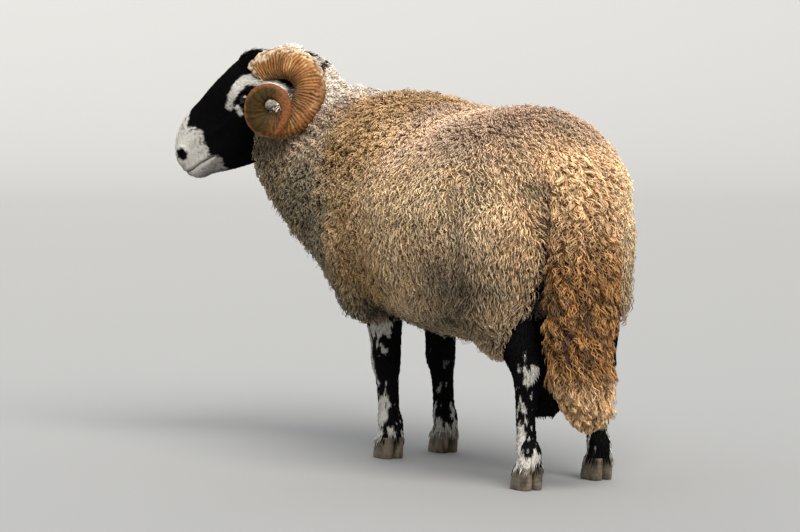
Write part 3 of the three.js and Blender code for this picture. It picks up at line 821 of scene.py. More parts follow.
def mesh_object(name, points, corners, sizes, stuff, tint=None, uv=None):
    """A mesh from points in the animal's millimetres, faces as one run of corners and their sizes."""
    mesh = bpy.data.meshes.new(name)
    mesh.vertices.add(len(points))
    mesh.vertices.foreach_set("co", placed(points).astype(np.float32).ravel())
    mesh.loops.add(len(corners))
    mesh.loops.foreach_set("vertex_index", corners.astype(np.int32))
    mesh.polygons.add(len(sizes))
    mesh.polygons.foreach_set("loop_start", np.concatenate([[0], np.cumsum(sizes)[:-1]]).astype(np.int32))
    mesh.update(calc_edges=True)
    smoothed(mesh)
    if tint is not None:
        painted(mesh, tint)
    if uv is not None:
        layer = mesh.uv_layers.new(name="OFBake")
        layer.data.foreach_set("uv", uv[corners].astype(np.float32).ravel())
    mesh.materials.append(stuff)
    return linked(name, mesh)


def dressed(made, slot, *solids):
    """Says of a piece that it rides on the root and which solids it takes the place of; its slot is not used.
    """
    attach(made, "root")
    if solids:
        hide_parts(*solids)


def painted(mesh, tint):
    layer = mesh.color_attributes.new(name="tint", type="FLOAT_COLOR", domain="POINT")
    colour = np.ones((len(mesh.vertices), 4), np.float32)
    colour[:, :3] = np.clip(tint, 0, 1)
    layer.data.foreach_set("color", colour.ravel())


def volume(points, triangles):
    """Six times the volume that triangles close off, negative where they face in."""
    a, b, c = (points[triangles[:, k]] - points.mean(0) for k in range(3))
    return np.sum(a * np.cross(b, c))


def loft(form, steps, around, spacing=None, swell=None):
    """A closed surface of a form: its points, corners and face sizes, with each point's share and turn."""
    t = np.linspace(0, 1, steps + 1)
    t = spacing(t) if spacing else t
    turn = np.arange(around) / around
    grid_t, grid_turn = np.meshgrid(t, turn, indexing="ij")
    points = form(grid_t, grid_turn) if swell is None else form(grid_t, grid_turn, swell(grid_t, grid_turn))
    first, last = points[0].mean(0), points[-1].mean(0)
    r, k = np.meshgrid(np.arange(steps), np.arange(around), indexing="ij")
    a, b = r * around + k, r * around + (k + 1) % around
    quads = np.stack([a, b, b + around, a + around], -1).reshape(-1, 4)
    count, ring = points.shape[0] * around, np.arange(around)
    onward, pole = (ring + 1) % around, np.full(around, count)
    start = np.stack([pole, onward, ring], -1)
    end = np.stack([pole + 1, steps * around + ring, steps * around + onward], -1)
    points = np.vstack([points.reshape(-1, 3), first, last])
    if volume(points, quads[:, :3]) + volume(points, quads[:, [0, 2, 3]]) < 0:
        quads, start, end = quads[:, ::-1], start[:, ::-1], end[:, ::-1]
    corners = np.concatenate([quads.ravel(), start.ravel(), end.ravel()])
    sizes = np.concatenate([np.full(len(quads), 4), np.full(2 * around, 3)])
    all_t = np.concatenate([grid_t.ravel(), [t[0], t[-1]]])
    all_turn = np.concatenate([grid_turn.ravel(), [0, 0]])
    return points, corners, sizes, all_t, all_turn


def eased(t):
    return 0.5 - 0.5 * np.cos(np.pi * t)


# ---- the head's and legs' own shapes
def socket(a, b):
    """How far points of the head's side are from an eye's centre, 1 at the socket's edge."""
    return np.hypot((a - EYE_AT[0]) / 19, (b - EYE_AT[2]) / 11)


def modelled_head(points, normal):
    """Folds, sockets, lids, nostrils, lips and jaw, raised and sunk in the plain head."""
    a, c, b = head_axes(points)
    out = np.abs(c)
    flank, snout = smooth(out, 26, 44), smooth(out, 20, 34)
    q = socket(a, b)
    push = 3.4 * hump(q - 1.28, 0.26) * flank - 16 * fall(q, 0.8, 1.02) * flank
    push -= 4.0 * hump(np.hypot(a + 4, b + 30), 17) * flank
    push += 5.0 * hump(np.hypot((a + 16) * 0.6, b - 12), 12) * flank
    push += 4.0 * hump(np.hypot(a + 4, (b + 66) * 0.8), 34) * flank
    push -= 4.5 * hump(np.hypot((a - 72) * 0.6, b + 34), 22) * snout
    push += 2.4 * hump(near_line(a, b, [[20, -26], [60, -18], [104, -8]]), 7) * snout
    jaw = smooth(-b, 40, 100) * smooth(out, 12, 40)
    push -= 7 * jaw * smooth(a, -20, 60)
    nostril = near_line(a, b, NOSTRIL)
    ala = smooth(out, 10, 17)
    push += 2.6 * hump(nostril - 9, 4) * ala - 10 * fall(nostril, 1.6, 5.4) * ala
    lips = near_line(a, b, MOUTH)
    push += 1.8 * hump(lips - 6.5, 4) - 4.2 * hump(lips, 1.6)
    push += 2.0 * hump(near_line(a, b, [[196, -44], [176, -50], [150, -54]]), 8)
    push -= 2.2 * hump(out, 2.0) * smooth(a, 186, 198) * smooth(b, -24, -12)
    push -= 1.6 * hump(out, 9) * band(a, 20, 90, 120, 170) * (b > 20)
    wrinkles = np.sin((a * 0.9 + b * 0.5) * 0.9 + 2.5 * noise(points, 26, 41))
    push += 0.5 * wrinkles * smooth(a, 130, 165) * (b > -30) * smooth(out, 12, 24)
    push += 0.6 * noise(points, 14, 42) - 1.2
    moved = to_head(points + push[:, None] * normal)
    moved[:, 1] *= 1 - 0.12 * jaw * smooth(a, -60, 40)
    return in_head(*split(moved))


def modelled_leg(points, limb, side, foot):
    """Tendons, knee or hock, and pasterns on a leg, a hair's depth inside the plain one."""
    x, y, z = split(points)
    flat = unit(np.stack([x - foot[0], y - foot[1] + 10, 0 * x], -1))
    behind, beside = flat[:, 1], np.abs(flat[:, 0])
    push = -2.6 * hump(np.abs(behind - 0.35), 0.3) * beside * band(z, 85, 110, 160, 190)
    push += 1.6 * hump(z - 72, 14) * (0.5 + 0.5 * behind)
    if limb == "fore":
        push += 2.6 * hump(z - 208, 20) * smooth(-behind, 0.1, 0.8)
        push += 2.0 * hump(z - 192, 9) * smooth(behind, 0.3, 0.9) - 1.6 * hump(z - 182, 8)
    else:
        push += 3.5 * hump(z - 248, 14) * smooth(behind, 0.5, 1)
        push -= 3.4 * hump(z - 262, 22) * beside * smooth(behind, -0.3, 0.5)
        push += 2.0 * hump(z - 222, 12) * beside
    push += 0.5 * noise(points, 12, 51) - 1.0 - 2.4 * smooth(z, 48, 80)
    return points + push[:, None] * flat


# ---- one skin over all the flesh
RIGHT_THIGH = (-10, -36)  # where the right thigh stands from the left one's mirror image


def thigh(side, at):
    return sunk(column(THIGH, side, at), 500, 640, 34), tapered(THIGH_COAT)


def shoulder(side, at):
    return sunk(column(SHOULDER, side, at), 470, 600, 30), tapered(SHOULDER_COAT)


FLEECED = {  # each fleeced form with the depth of its coat
    "trunk": (trunk, even(COAT)),
    "neck": (neck, even(NECK_COAT)),
    "thigh_left": thigh(1, (0, 0)),
    "thigh_right": thigh(-1, RIGHT_THIGH),
    "shoulder_left": shoulder(1, (-6, 0)),
    "shoulder_right": shoulder(-1, (-16, -8)),
    "tail": (column(TAIL), tapered(TAIL_COAT)),
}
CORES = {name: woolly(*one) for name, one in FLEECED.items()}
GRIDS = {"trunk": (100, 130), "neck": (100, 130), "tail": (110, 60)}  # steps along and around
PARTS = {name: (core, *GRIDS.get(name, (70, 70))) for name, core in CORES.items()}
PARTS.update(scrotum=(column(SCROTUM), 50, 40), head=(skull, 210, 170))
PARTS.update({name: (form, 50, 60) for name, form in PADS.items()})
PARTS.update({f"ear_{side}": (ear(mirror), 46, 44) for side, mirror in SIDES.items()})
LEGS = {}
for place, foot in FEET.items():
    limb, side = place.split("_")
    LEGS[f"{limb}leg_{side}"] = (limb, side, foot)
    table = FORE_LEG if limb == "fore" else HIND_LEG
    PARTS[f"{limb}leg_{side}"] = (column(table, SIDES[side], foot), 120, 44)

pieces = []
for number, (name, (form, steps, around)) in enumerate(PARTS.items()):
    points, corners, sizes, share, turn = loft(form, steps, around, eased if name == "trunk" else None)
    if name == "head":
        normal = frame_of(form, share, turn)[0]
        normal[-2:] = [-FORWARD, FORWARD]
        points = modelled_head(points, normal)
    if name in LEGS:
        points = modelled_leg(points, *LEGS[name])
    if name == "scrotum":
        x, y, z = split(points)
        points[:, 1] -= np.sign(y - SCROTUM_MIDDLE) * hump(x + 4, 7) * fall(z, 180, 230) * 5
    piece = mesh_object(name, points, corners, sizes, SKIN)
    label = piece.data.attributes.new("part", "FLOAT", "POINT")
    label.data.foreach_set("value", np.full(len(points), number, np.float32))
    pieces.append(piece)

others = bpy.data.collections.new("others")
for piece in pieces[1:]:
    others.objects.link(piece)
union = pieces[0].modifiers.new("union", "BOOLEAN")
union.operation, union.solver = "UNION", "MANIFOLD"
union.operand_type, union.collection = "COLLECTION", others
bpy.context.view_layer.update()
whole = bpy.data.meshes.new_from_object(pieces[0].evaluated_get(bpy.context.evaluated_depsgraph_get()))
for piece in pieces:
    bpy.data.objects.remove(piece)
bpy.data.collections.remove(others)
whole.name = "skin"
skin = linked("skin", whole)


def vertex_values(key):
    values = np.empty(len(whole.vertices) * 3, np.float32)
    whole.vertices.foreach_get(key, values)
    return values.reshape(-1, 3)


skin_points = measured(vertex_values("co"))
part = np.empty(len(whole.vertices), np.float32)
whole.attributes["part"].data.foreach_get("value", part)
# the skin under the fleece: the wool's colour, a little darker, with the painted shade of the folds
tint = wool_colour(skin_points) * (0.92 * fold_shade(skin_points, vertex_values("normal")))[:, None]
for number, name in enumerate(PARTS):
    on = np.abs(part - number) < 0.5
    p = skin_points[on]
    if name == "tail":
        tint[on] = tail_colour(p) * 0.8
    elif name == "head":
        tint[on] = face_tint(p)
    elif name in PADS:
        tint[on] = pad_colour(p) * 0.95
    elif name in LEGS:
        tint[on] = leg_tint(p, *LEGS[name])
    elif name == "scrotum":
        tint[on] = BLACK
    elif name.startswith("ear"):
        tint[on] = ear_tint(p)
painted(whole, tint)
smoothed(whole)
whole.attributes.remove(whole.attributes["part"])
whole.materials.clear()
whole.materials.append(SKIN)
FLESH = ("head", "neck", "torso", "thigh_left", "thigh_right", "tail", "scrotum", "ear_left", "ear_right")
dressed(skin, "face_hair", *FLESH, *LEGS)
skin_tree = BVHTree.FromObject(skin, bpy.context.evaluated_depsgraph_get())


def inside(tree, points, depth=0.0):
    """Which points lie inside a closed surface by more than a depth in millimetres."""
    found = np.zeros(len(points), bool)
    for i, p in enumerate(placed(points)):
        near, normal, _, distance = tree.find_nearest(Vector(p))
        found[i] = distance > depth * MM and (Vector(p) - near).dot(normal) < 0
    return found


# ---- horns
HORN_STEPS = 800  # rings along a horn
NOISE_GIRTH = 36  # radius on which the horn's noises are read
PLATE = 6.6  # mean length of a plate
HORN_SHARES = np.linspace(0, 1, HORN_STEPS)
spine = sum(horn(1)(HORN_SHARES, np.full(HORN_STEPS, turn)) for turn in (0.25, 0.75)) / 2
HORN_LENGTHS = np.concatenate([[0], np.cumsum(np.linalg.norm(np.diff(spine, axis=0), axis=1))])


def horn_place(t, turn):
    """Length along the horn in millimetres, and a point for noises that has no seam."""
    length, angle = np.interp(t, HORN_SHARES, HORN_LENGTHS), 2 * np.pi * turn
    return length, stacked(length, NOISE_GIRTH * np.cos(angle), NOISE_GIRTH * np.sin(angle))


def horn_crust(t, turn):
    """How thick the flaky crust lies: a band along the outer edge that ends below the disc."""
    length, place = horn_place(t, turn)
    edge = row_at([[0, 0.35], [0.10, 0.62], [0.20, 0.82], [0.26, 1.15], [1, 1.6]], t)[0]
    edge = edge + 0.12 * noise(place, 16, 107) + 0.14 * noise(place, 5, 113)
    return np.maximum(smooth(np.cos(2 * np.pi * turn) - edge, -0.05, 0.12), hump(length, 9))


def horn_plates(t, turn):
    """The horn's overlapping plates: which one a point is on, and where across it from 0 to 1."""
    length, place = horn_place(t, turn)
    where = length / PLATE
    for share, size, seed in ((0.6, 26, 101), (0.3, 10, 102), (0.18, 4, 115)):
        where = where + share * noise(place, size, seed)
    return np.floor(where), where % 1


def horn_rib(t, turn):
    """How high the plates stand: a step at each one's edge, with a groove."""
    place, step = horn_place(t, turn)[1], horn_plates(t, turn)[1]
    groove = hump(0.5 - np.abs(step - 0.5), 0.2) * (0.75 + 0.5 * noise(place, 15, 118))
    return 0.7 - 2.0 * groove + 0.5 * (step - 0.5)


def horn_swell(t, turn):
    """Cross ribs, deep near the root and fine towards the tip, and the lumps of the crust."""
    length, place = horn_place(t, turn)
    strong = (1 - smooth(t, 0.30, 0.46)) * (0.9 + 0.7 * noise(place * [1, 0.3, 0.3], 13, 112))
    crust = horn_crust(t, turn)
    lumps = 1.0 + 1.6 * noise(place, 7, 103) + 1.8 * noise(place, 3.6, 108)
    fine = np.sin(length / 1.7 + 2 * noise(place, 20, 104)) * 0.14
    pits = 0.5 * noise(place, 6, 116) + 0.35 * noise(place, 2.8, 117)
    ribs = (0.1 + 0.95 * strong * (1 - 0.55 * crust)) * horn_rib(t, turn)
    return ribs + fine + pits + 1.2 * crust * lumps - 0.9


horn_trees = []
for side, mirror in SIDES.items():
    points, corners, sizes, share, turn = loft(horn(mirror), HORN_STEPS, 46, None, horn_swell)
    length, place = horn_place(share, turn)
    rib, crust, outer = horn_rib(share, turn), horn_crust(share, turn), np.cos(2 * np.pi * turn)
    mottle = rough_noise(place, 22, 105)
    on_disc = smooth(share + 0.02 * mottle, 0.36, 0.46)
    off_disc = 1 - on_disc
    lit_crest = smooth(rib, 0.3, 1.1) * off_disc
    groove = smooth(-rib, -0.1, 0.8) * off_disc * (0.8 + 0.4 * noise(place, 14, 114))
    plate = np.sin(12.9898 * horn_plates(share, turn)[0]) * 437.585 % 1  # each plate's own number from 0 to 1
    plate_tone = 0.62 * (plate - 0.5) + 0.3 * noise(place * [0.2, 1, 1], 4.5, 119)
    lines = np.sin(length / 2.3 + 1.2 * noise(place, 12, 109))
    rim = np.maximum(smooth(share, 0.58, 0.66), hump(share - 0.3, 0.1) * 0.8)
    flake = smooth(noise(place, 7, 103) + noise(place, 3.6, 108), -0.6, 0.3)
    colour = layered(
        AMBER * 1.1,
        (rgb(186, 148, 104), smooth(mottle, 0.0, 0.5)),
        (OLIVE, on_disc * fall(outer, 0.6, 0.9)),
        # painted highlight on the crests of the plates
        (rgb(206, 156, 98), 0.5 * lit_crest * (1 + 0.8 * mottle)),
        # dark grooves between the plates: the horn's dark cracks, deepened with painted shade
        (DARK_HORN, np.clip(0.95 * groove, 0, 1)),
        # painted shade low on the coil's inner side
        (DARK_HORN * 1.5, 0.45 * hump(share - 0.33, 0.12) * smooth(-outer, -0.5, 0.3)),
        # painted shade along the horn's inner edge, by the coil's opening
        (NONE, 0.4 * smooth(-outer, 0.2, 1) * off_disc),
        (NONE, -0.26 * lines * on_disc),
        (NONE, -plate_tone * off_disc),
        (RIM, smooth(outer, 0.35, 0.75) * rim),
        (RIM, smooth(share, 0.76, 0.84)),
        (mixed(rgb(92, 60, 38), CRUST, flake), 0.95 * crust),
        (WHITE, 0.5 * smooth(noise(place, 5, 111), 0.45, 0.65) * crust),
    )
    colour = 0.96 * colour * (1 + 0.34 * rough_noise(place * [1, 0.4, 0.4], 5, 106))[:, None]
    made = mesh_object(f"horn_{side}_ribbed", points, corners, sizes, HORN_STUFF, colour)
    dressed(made, "horn", f"horn_{side}")
    points, corners, sizes = loft(horn(mirror), 240, 24)[:3]  # without ribs, to tell what is inside
    faces = [list(face) for face in np.split(corners, np.cumsum(sizes)[:-1])]
    horn_trees.append(BVHTree.FromPolygons([Vector(p) for p in placed(points)], faces))


def in_horns(points):
    return inside(horn_trees[0], points) | inside(horn_trees[1], points)


# ---- locks and tufts
MOST = 196000  # triangles in one piece of coat
ROW_STEP = 0.87  # distance of staggered rows, as a share of the spacing
STRAYS = 0.04  # share of locks that stand out of the coat
LOWEST = 122  # height below which no lock hangs
OFF_SKIN = 14  # a tuft whose skin is further from its form is left out
TUFT_RADIUS = 0.26  # as a share of the spacing
UV_MARGIN, UV_PATCH = 0.004, 0.0015  # the unwrap's free edge, and half the size of a strand's patch on it
DOWN = np.array([0, 0, -1.0])
# painted shade darkens and browns each lock's root, and painted light pales its tip
ROOT_SHADE, TIP_SHADE = np.array([0.80, 0.72, 0.62]), np.array([1.08, 1.09, 1.15])
SUNK_ROOT = 3  # a lock starts this far inside its form
WHOLE_TURN = 6.28  # radians over which the staples' phases spread


def rows_over(form, spacing, jitter, stop=1.0):
    """Roots in staggered rows, evenly over a form: shares, turns, and each root's place on its unwrap."""
    fine, turns = np.linspace(0, 1, 241), np.linspace(0, 1, 25)
    lines = [form(fine, np.full_like(fine, quarter)) for quarter in (0, 0.25, 0.5, 0.75)]
    steps = sum(np.linalg.norm(np.diff(line, axis=0), axis=1) for line in lines) / 4
    length = np.concatenate([[0], np.cumsum(steps)])
    found = []
    rows = max(int(length[-1] / (spacing * ROW_STEP)), 2)
    for row in range(rows):
        arc = (row + 0.5) / rows
        t = np.interp(arc * length[-1], length, fine)
        if t > stop:
            continue
        ring = form(np.full_like(turns, t), turns)
        around = max(int(np.linalg.norm(np.diff(ring, axis=0), axis=1).sum() / spacing), 3)
        turn = (np.arange(around) + 0.5 * (row % 2) + jitter * (rng.random(around) - 0.5)) / around
        slip = arc + jitter * (rng.random(around) - 0.5) / rows
        found.append([np.interp(slip * length[-1], length, fine), turn % 1, slip])
    return np.concatenate(found, axis=1)


def strands(name, line, radius, tint, turn, arc, stuff, slot):
    """Closed three-sided strands as one mesh, from centre lines, radii, tints and places on the form."""
    n, k = line.shape[:2]
    tangent = unit(np.gradient(line, axis=1))
    mean = unit(line[:, -1] - line[:, 0])
    helper = np.where(np.abs(mean[:, 2:]) < 0.8, [[0, 0, 1.0]], [[1.0, 0, 0]])
    spin = rng.random(n) * 2 * np.pi
    e1 = unit(np.cross(mean, helper))
    e2 = np.cross(mean, e1)
    across = e1 * np.cos(spin)[:, None] + e2 * np.sin(spin)[:, None]
    side = unit(across[:, None] - tangent * np.sum(across[:, None] * tangent, -1, keepdims=True))
    up = np.cross(tangent, side)
    angles = np.arange(3) * 2 * np.pi / 3
    ring = side[:, :-1, None] * np.cos(angles)[:, None] + up[:, :-1, None] * np.sin(angles)[:, None]
    body = line[:, :-1, None] + ring * radius[:, :, None, None]
    points = np.concatenate([body.reshape(n, -1, 3), line[:, -1:]], 1)
    per = points.shape[1]
    one = []
    for r in range(k - 2):
        one += [[3 * r + s, 3 * r + (s + 1) % 3, 3 * r + 3 + (s + 1) % 3, 3 * r + 3 + s] for s in range(3)]
    quads = np.array(one, int).reshape(-1)
    tip = 3 * (k - 2)
    tris = np.array([[tip + s, tip + (s + 1) % 3, per - 1] for s in range(3)] + [[2, 1, 0]]).reshape(-1)
    corners = np.concatenate([quads, tris])[None] + (np.arange(n) * per)[:, None]
    sizes = np.tile(np.concatenate([np.full(len(quads) // 4, 4), np.full(len(tris) // 3, 3)]), n)
    colour = np.concatenate([np.repeat(tint[:, :-1], 3, axis=1), tint[:, -1:]], 1)
    share = np.concatenate([np.repeat(np.linspace(0, 1, k)[:-1], 3), [1]])
    spread = np.concatenate([np.tile([-1.0, 0.0, 1.0], k - 1), [0]])
    patch = np.stack([spread, 2 * share - 1], -1) * UV_PATCH
    place = np.stack([turn, (arc - arc.min()) / max(arc.max() - arc.min(), 1e-6)], -1)
    uv = (UV_MARGIN + (1 - 2 * UV_MARGIN) * place[:, None] + patch[None]).reshape(-1, 2)
    points, colour = points.reshape(-1, 3), colour.reshape(-1, 3)
    dressed(mesh_object(name, points, corners.ravel(), sizes, stuff, colour, uv), slot)


def coat(name, line, radius, tint, turn, arc, stuff, slot):
    """Strands in pieces of at most MOST triangles, split along the form."""
    each = 6 * line.shape[1] - 8  # triangles in a strand
    count = int(np.ceil(len(arc) / (MOST // each)))
    for number, chosen in enumerate(np.array_split(np.argsort(arc, kind="stable"), count)):
        chosen = np.sort(chosen)
        piece = f"{name}_{number + 1}" if count > 1 else name
        strands(piece, *(v[chosen] for v in (line, radius, tint, turn, arc)), stuff, slot)


def lying(root, normal, along, flow, droop, swirl):
    """The direction in which hair lies at its roots: along the form, down, and a little astray."""
    downward = DOWN - normal * (normal @ DOWN)[:, None]
    astray = sum(w * np.stack([noise(root, scale, 71 + 3 * i + k) for k in range(3)], -1)
                 for i, (scale, w) in enumerate(swirl))
    lie = flow * along + droop * downward + astray
    return unit(lie - normal * np.sum(lie * normal, -1, keepdims=True))


def given(value, points):
    """A measure at points, which is a number or a function of them."""
    return value(points) if callable(value) else value


def varied(count, by):
    """Random factors round 1, over a range of the given width."""
    return 1 - by / 2 + by * rng.random(count)


def nearest(centres, points):
    """Which centre each point is nearest to."""
    tree = KDTree(len(centres))
    for i, centre in enumerate(centres):
        tree.insert(Vector(centre), i)
    tree.balance()
    return np.array([tree.find(Vector(p))[1] for p in points])


def fleece(name, spacing, flow, droop, colour_at, length=18.0, stop=1.0, keep=None, own=None, sink=4,
           bunch=12.0, hold=0.38, curl=2.1, wave=13.0, loose=1.4, radius=1.2, knots=4, high=1.0, least=6,
           edge_dark=0.42):
    """Wavy locks over a fleeced form, with their tips gathered into staples.

    Flow and droop say how much they lie along the form and downwards, bunch and hold how wide and how
    closely gathered a staple is, curl and wave how far and how often a lock swings, loose how much the locks
    of a staple differ, high how fully they stand out, and edge_dark how much painted shade darkens a
    staple's edge and painted light lifts its middle.
    """
    form, depth = own or (CORES[name], FLEECED[name][1])
    t, turn, arc = rows_over(form, spacing, 0.6, stop)
    root = form(t, turn)
    kept = ~inside(skin_tree, root, sink) & ~in_horns(root)
    if keep is not None:
        kept &= keep(root)
    t, turn, arc, root = t[kept], turn[kept], arc[kept], root[kept]
    count = len(t)
    normal, along = frame_of(form, t, turn)
    centres = form(*rows_over(form, bunch, 0.8, stop)[:2])
    staple, many = nearest(centres, root), len(centres)
    upright = hump(root[:, 1] - 80, 190) * smooth(np.abs(normal[:, 0]), 0.4, 0.8)
    lie = lying(root, normal, along, (flow * (1 - 0.9 * upright))[:, None], droop, [(90, 0.45), (26, 0.4)])
    astray = (1.7 - 1.1 * combed(root))[:, None]
    lie = lie + ((rng.random((many, 3)) - 0.5)[staple] * astray + (rng.random((count, 3)) - 0.5) * 0.5)
    lie = unit(lie - normal * np.sum(lie * normal, -1, keepdims=True))
    lowest = LOWEST + 0.75 * np.maximum(root[:, 0] + 25, 0) * (root[:, 1] > 310)
    size = given(length, root) * (1 - 0.55 * ruff(root)) * varied(count, 0.5)
    size = np.minimum(size, np.maximum(root[:, 2] - lowest, least))
    fuller_by = given(high, root)
    free = depth(t) * (1 - CORE) * (1 + 0.55 * smooth(-normal[:, 2], 0.25, 0.85))
    free = free * (0.86 + 0.2 * rng.random(many)[staple]) * (1 - 0.35 * rng.random(count) ** 1.7)
    stray = rng.random(count) < STRAYS
    free = free * (1 - 0.55 * folds(root, normal)[1]) * (1 - 0.6 * ruff(root)) * np.where(stray, 1.35, 1)
    free = free * fuller_by
    s = np.linspace(0, 1, knots) ** 0.8
    rise = (free + SUNK_ROOT)[:, None] * (1 - (1 - s) ** 2.6 - 0.25 * s**3)
    line = root[:, None] + normal[:, None] * (rise - SUNK_ROOT)[..., None]
    line = line + lie[:, None] * (size[:, None] * s**1.25)[..., None]
    tip = line[:, -1]
    middle = np.zeros((many, 3))
    np.add.at(middle, staple, tip)
    middle /= np.maximum(np.bincount(staple, minlength=many), 1)[:, None]
    line = line + ((middle[staple] - tip) * hold)[:, None] * (s**1.4)[:, None]
    phase = WHOLE_TURN * rng.random(many)[staple] + loose * rng.random(count) + 3 * noise(root, 18, 76)
    swing = (varied(count, 0.6) * np.minimum(fuller_by, 1))[:, None] * curl * np.minimum(s / 0.3, 1)
    wind = phase[:, None] + 2 * np.pi * s * (size / wave)[:, None]
    line = line + np.cross(normal, lie)[:, None] * (swing * np.sin(wind))[..., None]
    line = line + normal[:, None] * (0.5 * swing * np.cos(wind))[..., None]
    thick = radius * varied(count, 0.4) * np.where(stray, 0.45, 1)
    thick = thick[:, None] * np.interp(s[:-1], [0, 0.5, 1], [0.85, 1.0, 0.7])
    edge = np.minimum(np.linalg.norm(root - centres[staple], axis=1) / (0.62 * bunch), 1)
    tone = (1 + 0.24 * (rng.random(many) - 0.5))[staple] * (1 + 0.2 * (rng.random(count) - 0.5))
    # painted shade at each staple's edge and painted light at its middle, times the painted shade of the
    # folds
    tone = tone * (1 + edge_dark * (0.55 - edge**2)) * fold_shade(root, normal)
    warm = 1 + 0.10 * (rng.random(count) - 0.5)[:, None] * np.array([1, 0, -1.4])
    shade = ROOT_SHADE + (TIP_SHADE - ROOT_SHADE) * smooth(s, 0.2, 0.85)[:, None]
    tint = (colour_at(root) * tone[:, None] * warm)[:, None] * shade
    coat(f"fleece_{name}", line, thick, tint, turn, arc, WOOL, "fleece")


def on_crown(p):
    return to_head(p)[..., 0] < -90 + 6 * noise(p, 10, 83)


def behind_leg(mirror, shift):
    """Leaves out the wool low on the inner back of a thigh, where the dark leg shows."""

    def keep(p):
        inward = rightward(mirror * (p[:, 0] - shift[0]), p[:, 1] - shift[1])
        return ~(((inward > 66) & (p[:, 2] < 345)) | ((inward > 106) & (p[:, 2] < 430)))

    return keep


def fuller(p):
    """The wool low on the outer back of the right thigh, which hangs fuller."""
    return 1 + 1.1 * smooth(rightward(p[:, 0], p[:, 1]), 190, 240) * fall(p[:, 2], 380, 450)


def trunk_length(p):
    return 18 + 5 * combed(p) * fall(p[:, 2], 560, 640)


def thigh_length(p):
    return 25 - 9 * fall(p[:, 2], 285, 335)


def tail_length(p):
    return 26 + 16 * fall(p[:, 2], 380, 560) + 22 * fall(p[:, 2], 240, 300)


fleece("trunk", 5.1, 0.75, 1.0, wool_colour, trunk_length)
fleece("neck", 4.8, -0.5, 0.9, wool_colour, 15, stop=0.985, sink=9)
fleece("thigh_left", 5.1, 0.3, 1.0, wool_colour, thigh_length, keep=behind_leg(1, (0, 0)), curl=2.0)
fleece("thigh_right", 5.4, 0.3, 1.0, wool_colour, lambda p: thigh_length(p) + 20 * (fuller(p) - 1),
       keep=behind_leg(-1, RIGHT_THIGH), curl=2.0, high=fuller)
fleece("shoulder_left", 5.1, 0.3, 1.0, wool_colour)
fleece("shoulder_right", 5.4, 0.3, 1.0, wool_colour)
fleece("tail", 5.4, 0.6, 1.0, tail_colour, tail_length, bunch=18, hold=0.7, curl=3.8, wave=24, loose=0.6,
       radius=1.5, knots=6, high=lambda p: 1 - 0.3 * fall(p[:, 2], 160, 230), least=17, edge_dark=0.85)
for name, form in PADS.items():
    fleece(name, 4.6, -0.6, 0.3, pad_colour, 13, keep=on_crown, own=(form, even(30)))


def fur(name, form, spacing, length, flow, droop, tint_at, slot, keep=None, lift=0.22):
    """Short flat tufts over the face, ears and legs."""
    t, turn, arc = rows_over(form, spacing, 0.8)
    root = form(t, turn)
    if keep is not None:
        kept = keep(root)
        t, turn, arc, root = t[kept], turn[kept], arc[kept], root[kept]
    normal, along = frame_of(form, t, turn)
    surface = measured(np.array([skin_tree.find_nearest(Vector(p))[0] for p in placed(root)]))
    kept = (np.linalg.norm(surface - root, axis=1) < OFF_SKIN) & ~in_horns(surface)
    turn, arc, root, normal, along = (v[kept] for v in (turn, arc, surface, normal, along))
    count = len(root)
    lie = lying(root, normal, along, flow, droop, [(40, 0.4), (12, 0.25)])
    size = given(length, root) * varied(count, 0.5)
    rise = size * given(lift, root) * varied(count, 0.6)
    size, rise = size[:, None], rise[:, None]
    middle = root + normal * (rise * 0.75) + lie * (size * 0.45)
    line = np.stack([root - normal, middle, root + normal * rise + lie * size], 1)
    thick = (spacing * TUFT_RADIUS * varied(count, 0.4))[:, None] * np.array([1.0, 0.75])
    base = tint_at(root) * (1 + 0.3 * (rng.random(count) - 0.5))[:, None]
    # painted shade at each tuft's root and painted light at its tip
    tint = base[:, None] * np.array([0.8, 1.0, 1.1])[:, None]
    coat(name, line, thick, tint, turn, arc, HAIR, slot)


def has_hair(p):
    """Where the face has hair: not on the eyes, the nostrils, the line of the lips or the poll."""
    a, c, b = head_axes(p)
    eye = (socket(a, b) < 1.05) & (np.abs(c) > 30)
    nostril = (near_line(a, b, NOSTRIL) < 5) & (np.abs(c) > 9)
    return ~(eye | nostril | (near_line(a, b, MOUTH) < 2.4)) & (a > -112)


def forelock(p):
    """How far the ragged black hair before the horns stands up there."""
    a, _, b = head_axes(p)
    return smooth(-a, 40, 62) * smooth(b, 18, 46)


def face_length(p):
    a, _, b = head_axes(p)
    return 4.2 + 3.5 * fall(a, 20, 120) + 6 * forelock(p) + 4 * smooth(-b, 60, 100)


def leg_length(p):
    return 8 + 14 * fall(p[:, 2], 50, 74)


fur("hair_head", skull, 4.0, face_length, -1.0, 0.25, face_tint, "face_hair", has_hair,
    lambda p: 0.2 + 0.5 * forelock(p))
for name, leg in LEGS.items():
    fur(f"hair_{name}", PARTS[name][0], 5.3, leg_length, 0.8, 0.6, lambda p: leg_tint(p, *leg), "leg_hair",
        lambda p: p[:, 2] < 395)
fur("hair_scrotum", column(SCROTUM), 6.0, 9, 0.8, 0.6, lambda p: np.tile(BLACK, (len(p), 1)), "scrotum_hair")
for side, mirror in SIDES.items():
    fur(f"hair_ear_{side}", ear(mirror), 4.6, 7, 1.0, 0.1, ear_tint, "ear_hair")


# ---- eyes
def eyeball(mirror):
    """A ball of radius 1 that bulges at the cornea, in the head's axes."""

    def form(polar, turn):
        azimuth, bulge = turn * 2 * np.pi, 1 + 0.05 * hump(polar, 0.5)
        a, b = np.sin(polar) * np.cos(azimuth) * bulge, np.sin(polar) * np.sin(azimuth) * bulge
        return stacked(a, mirror * np.cos(polar) * bulge, b)

    return form


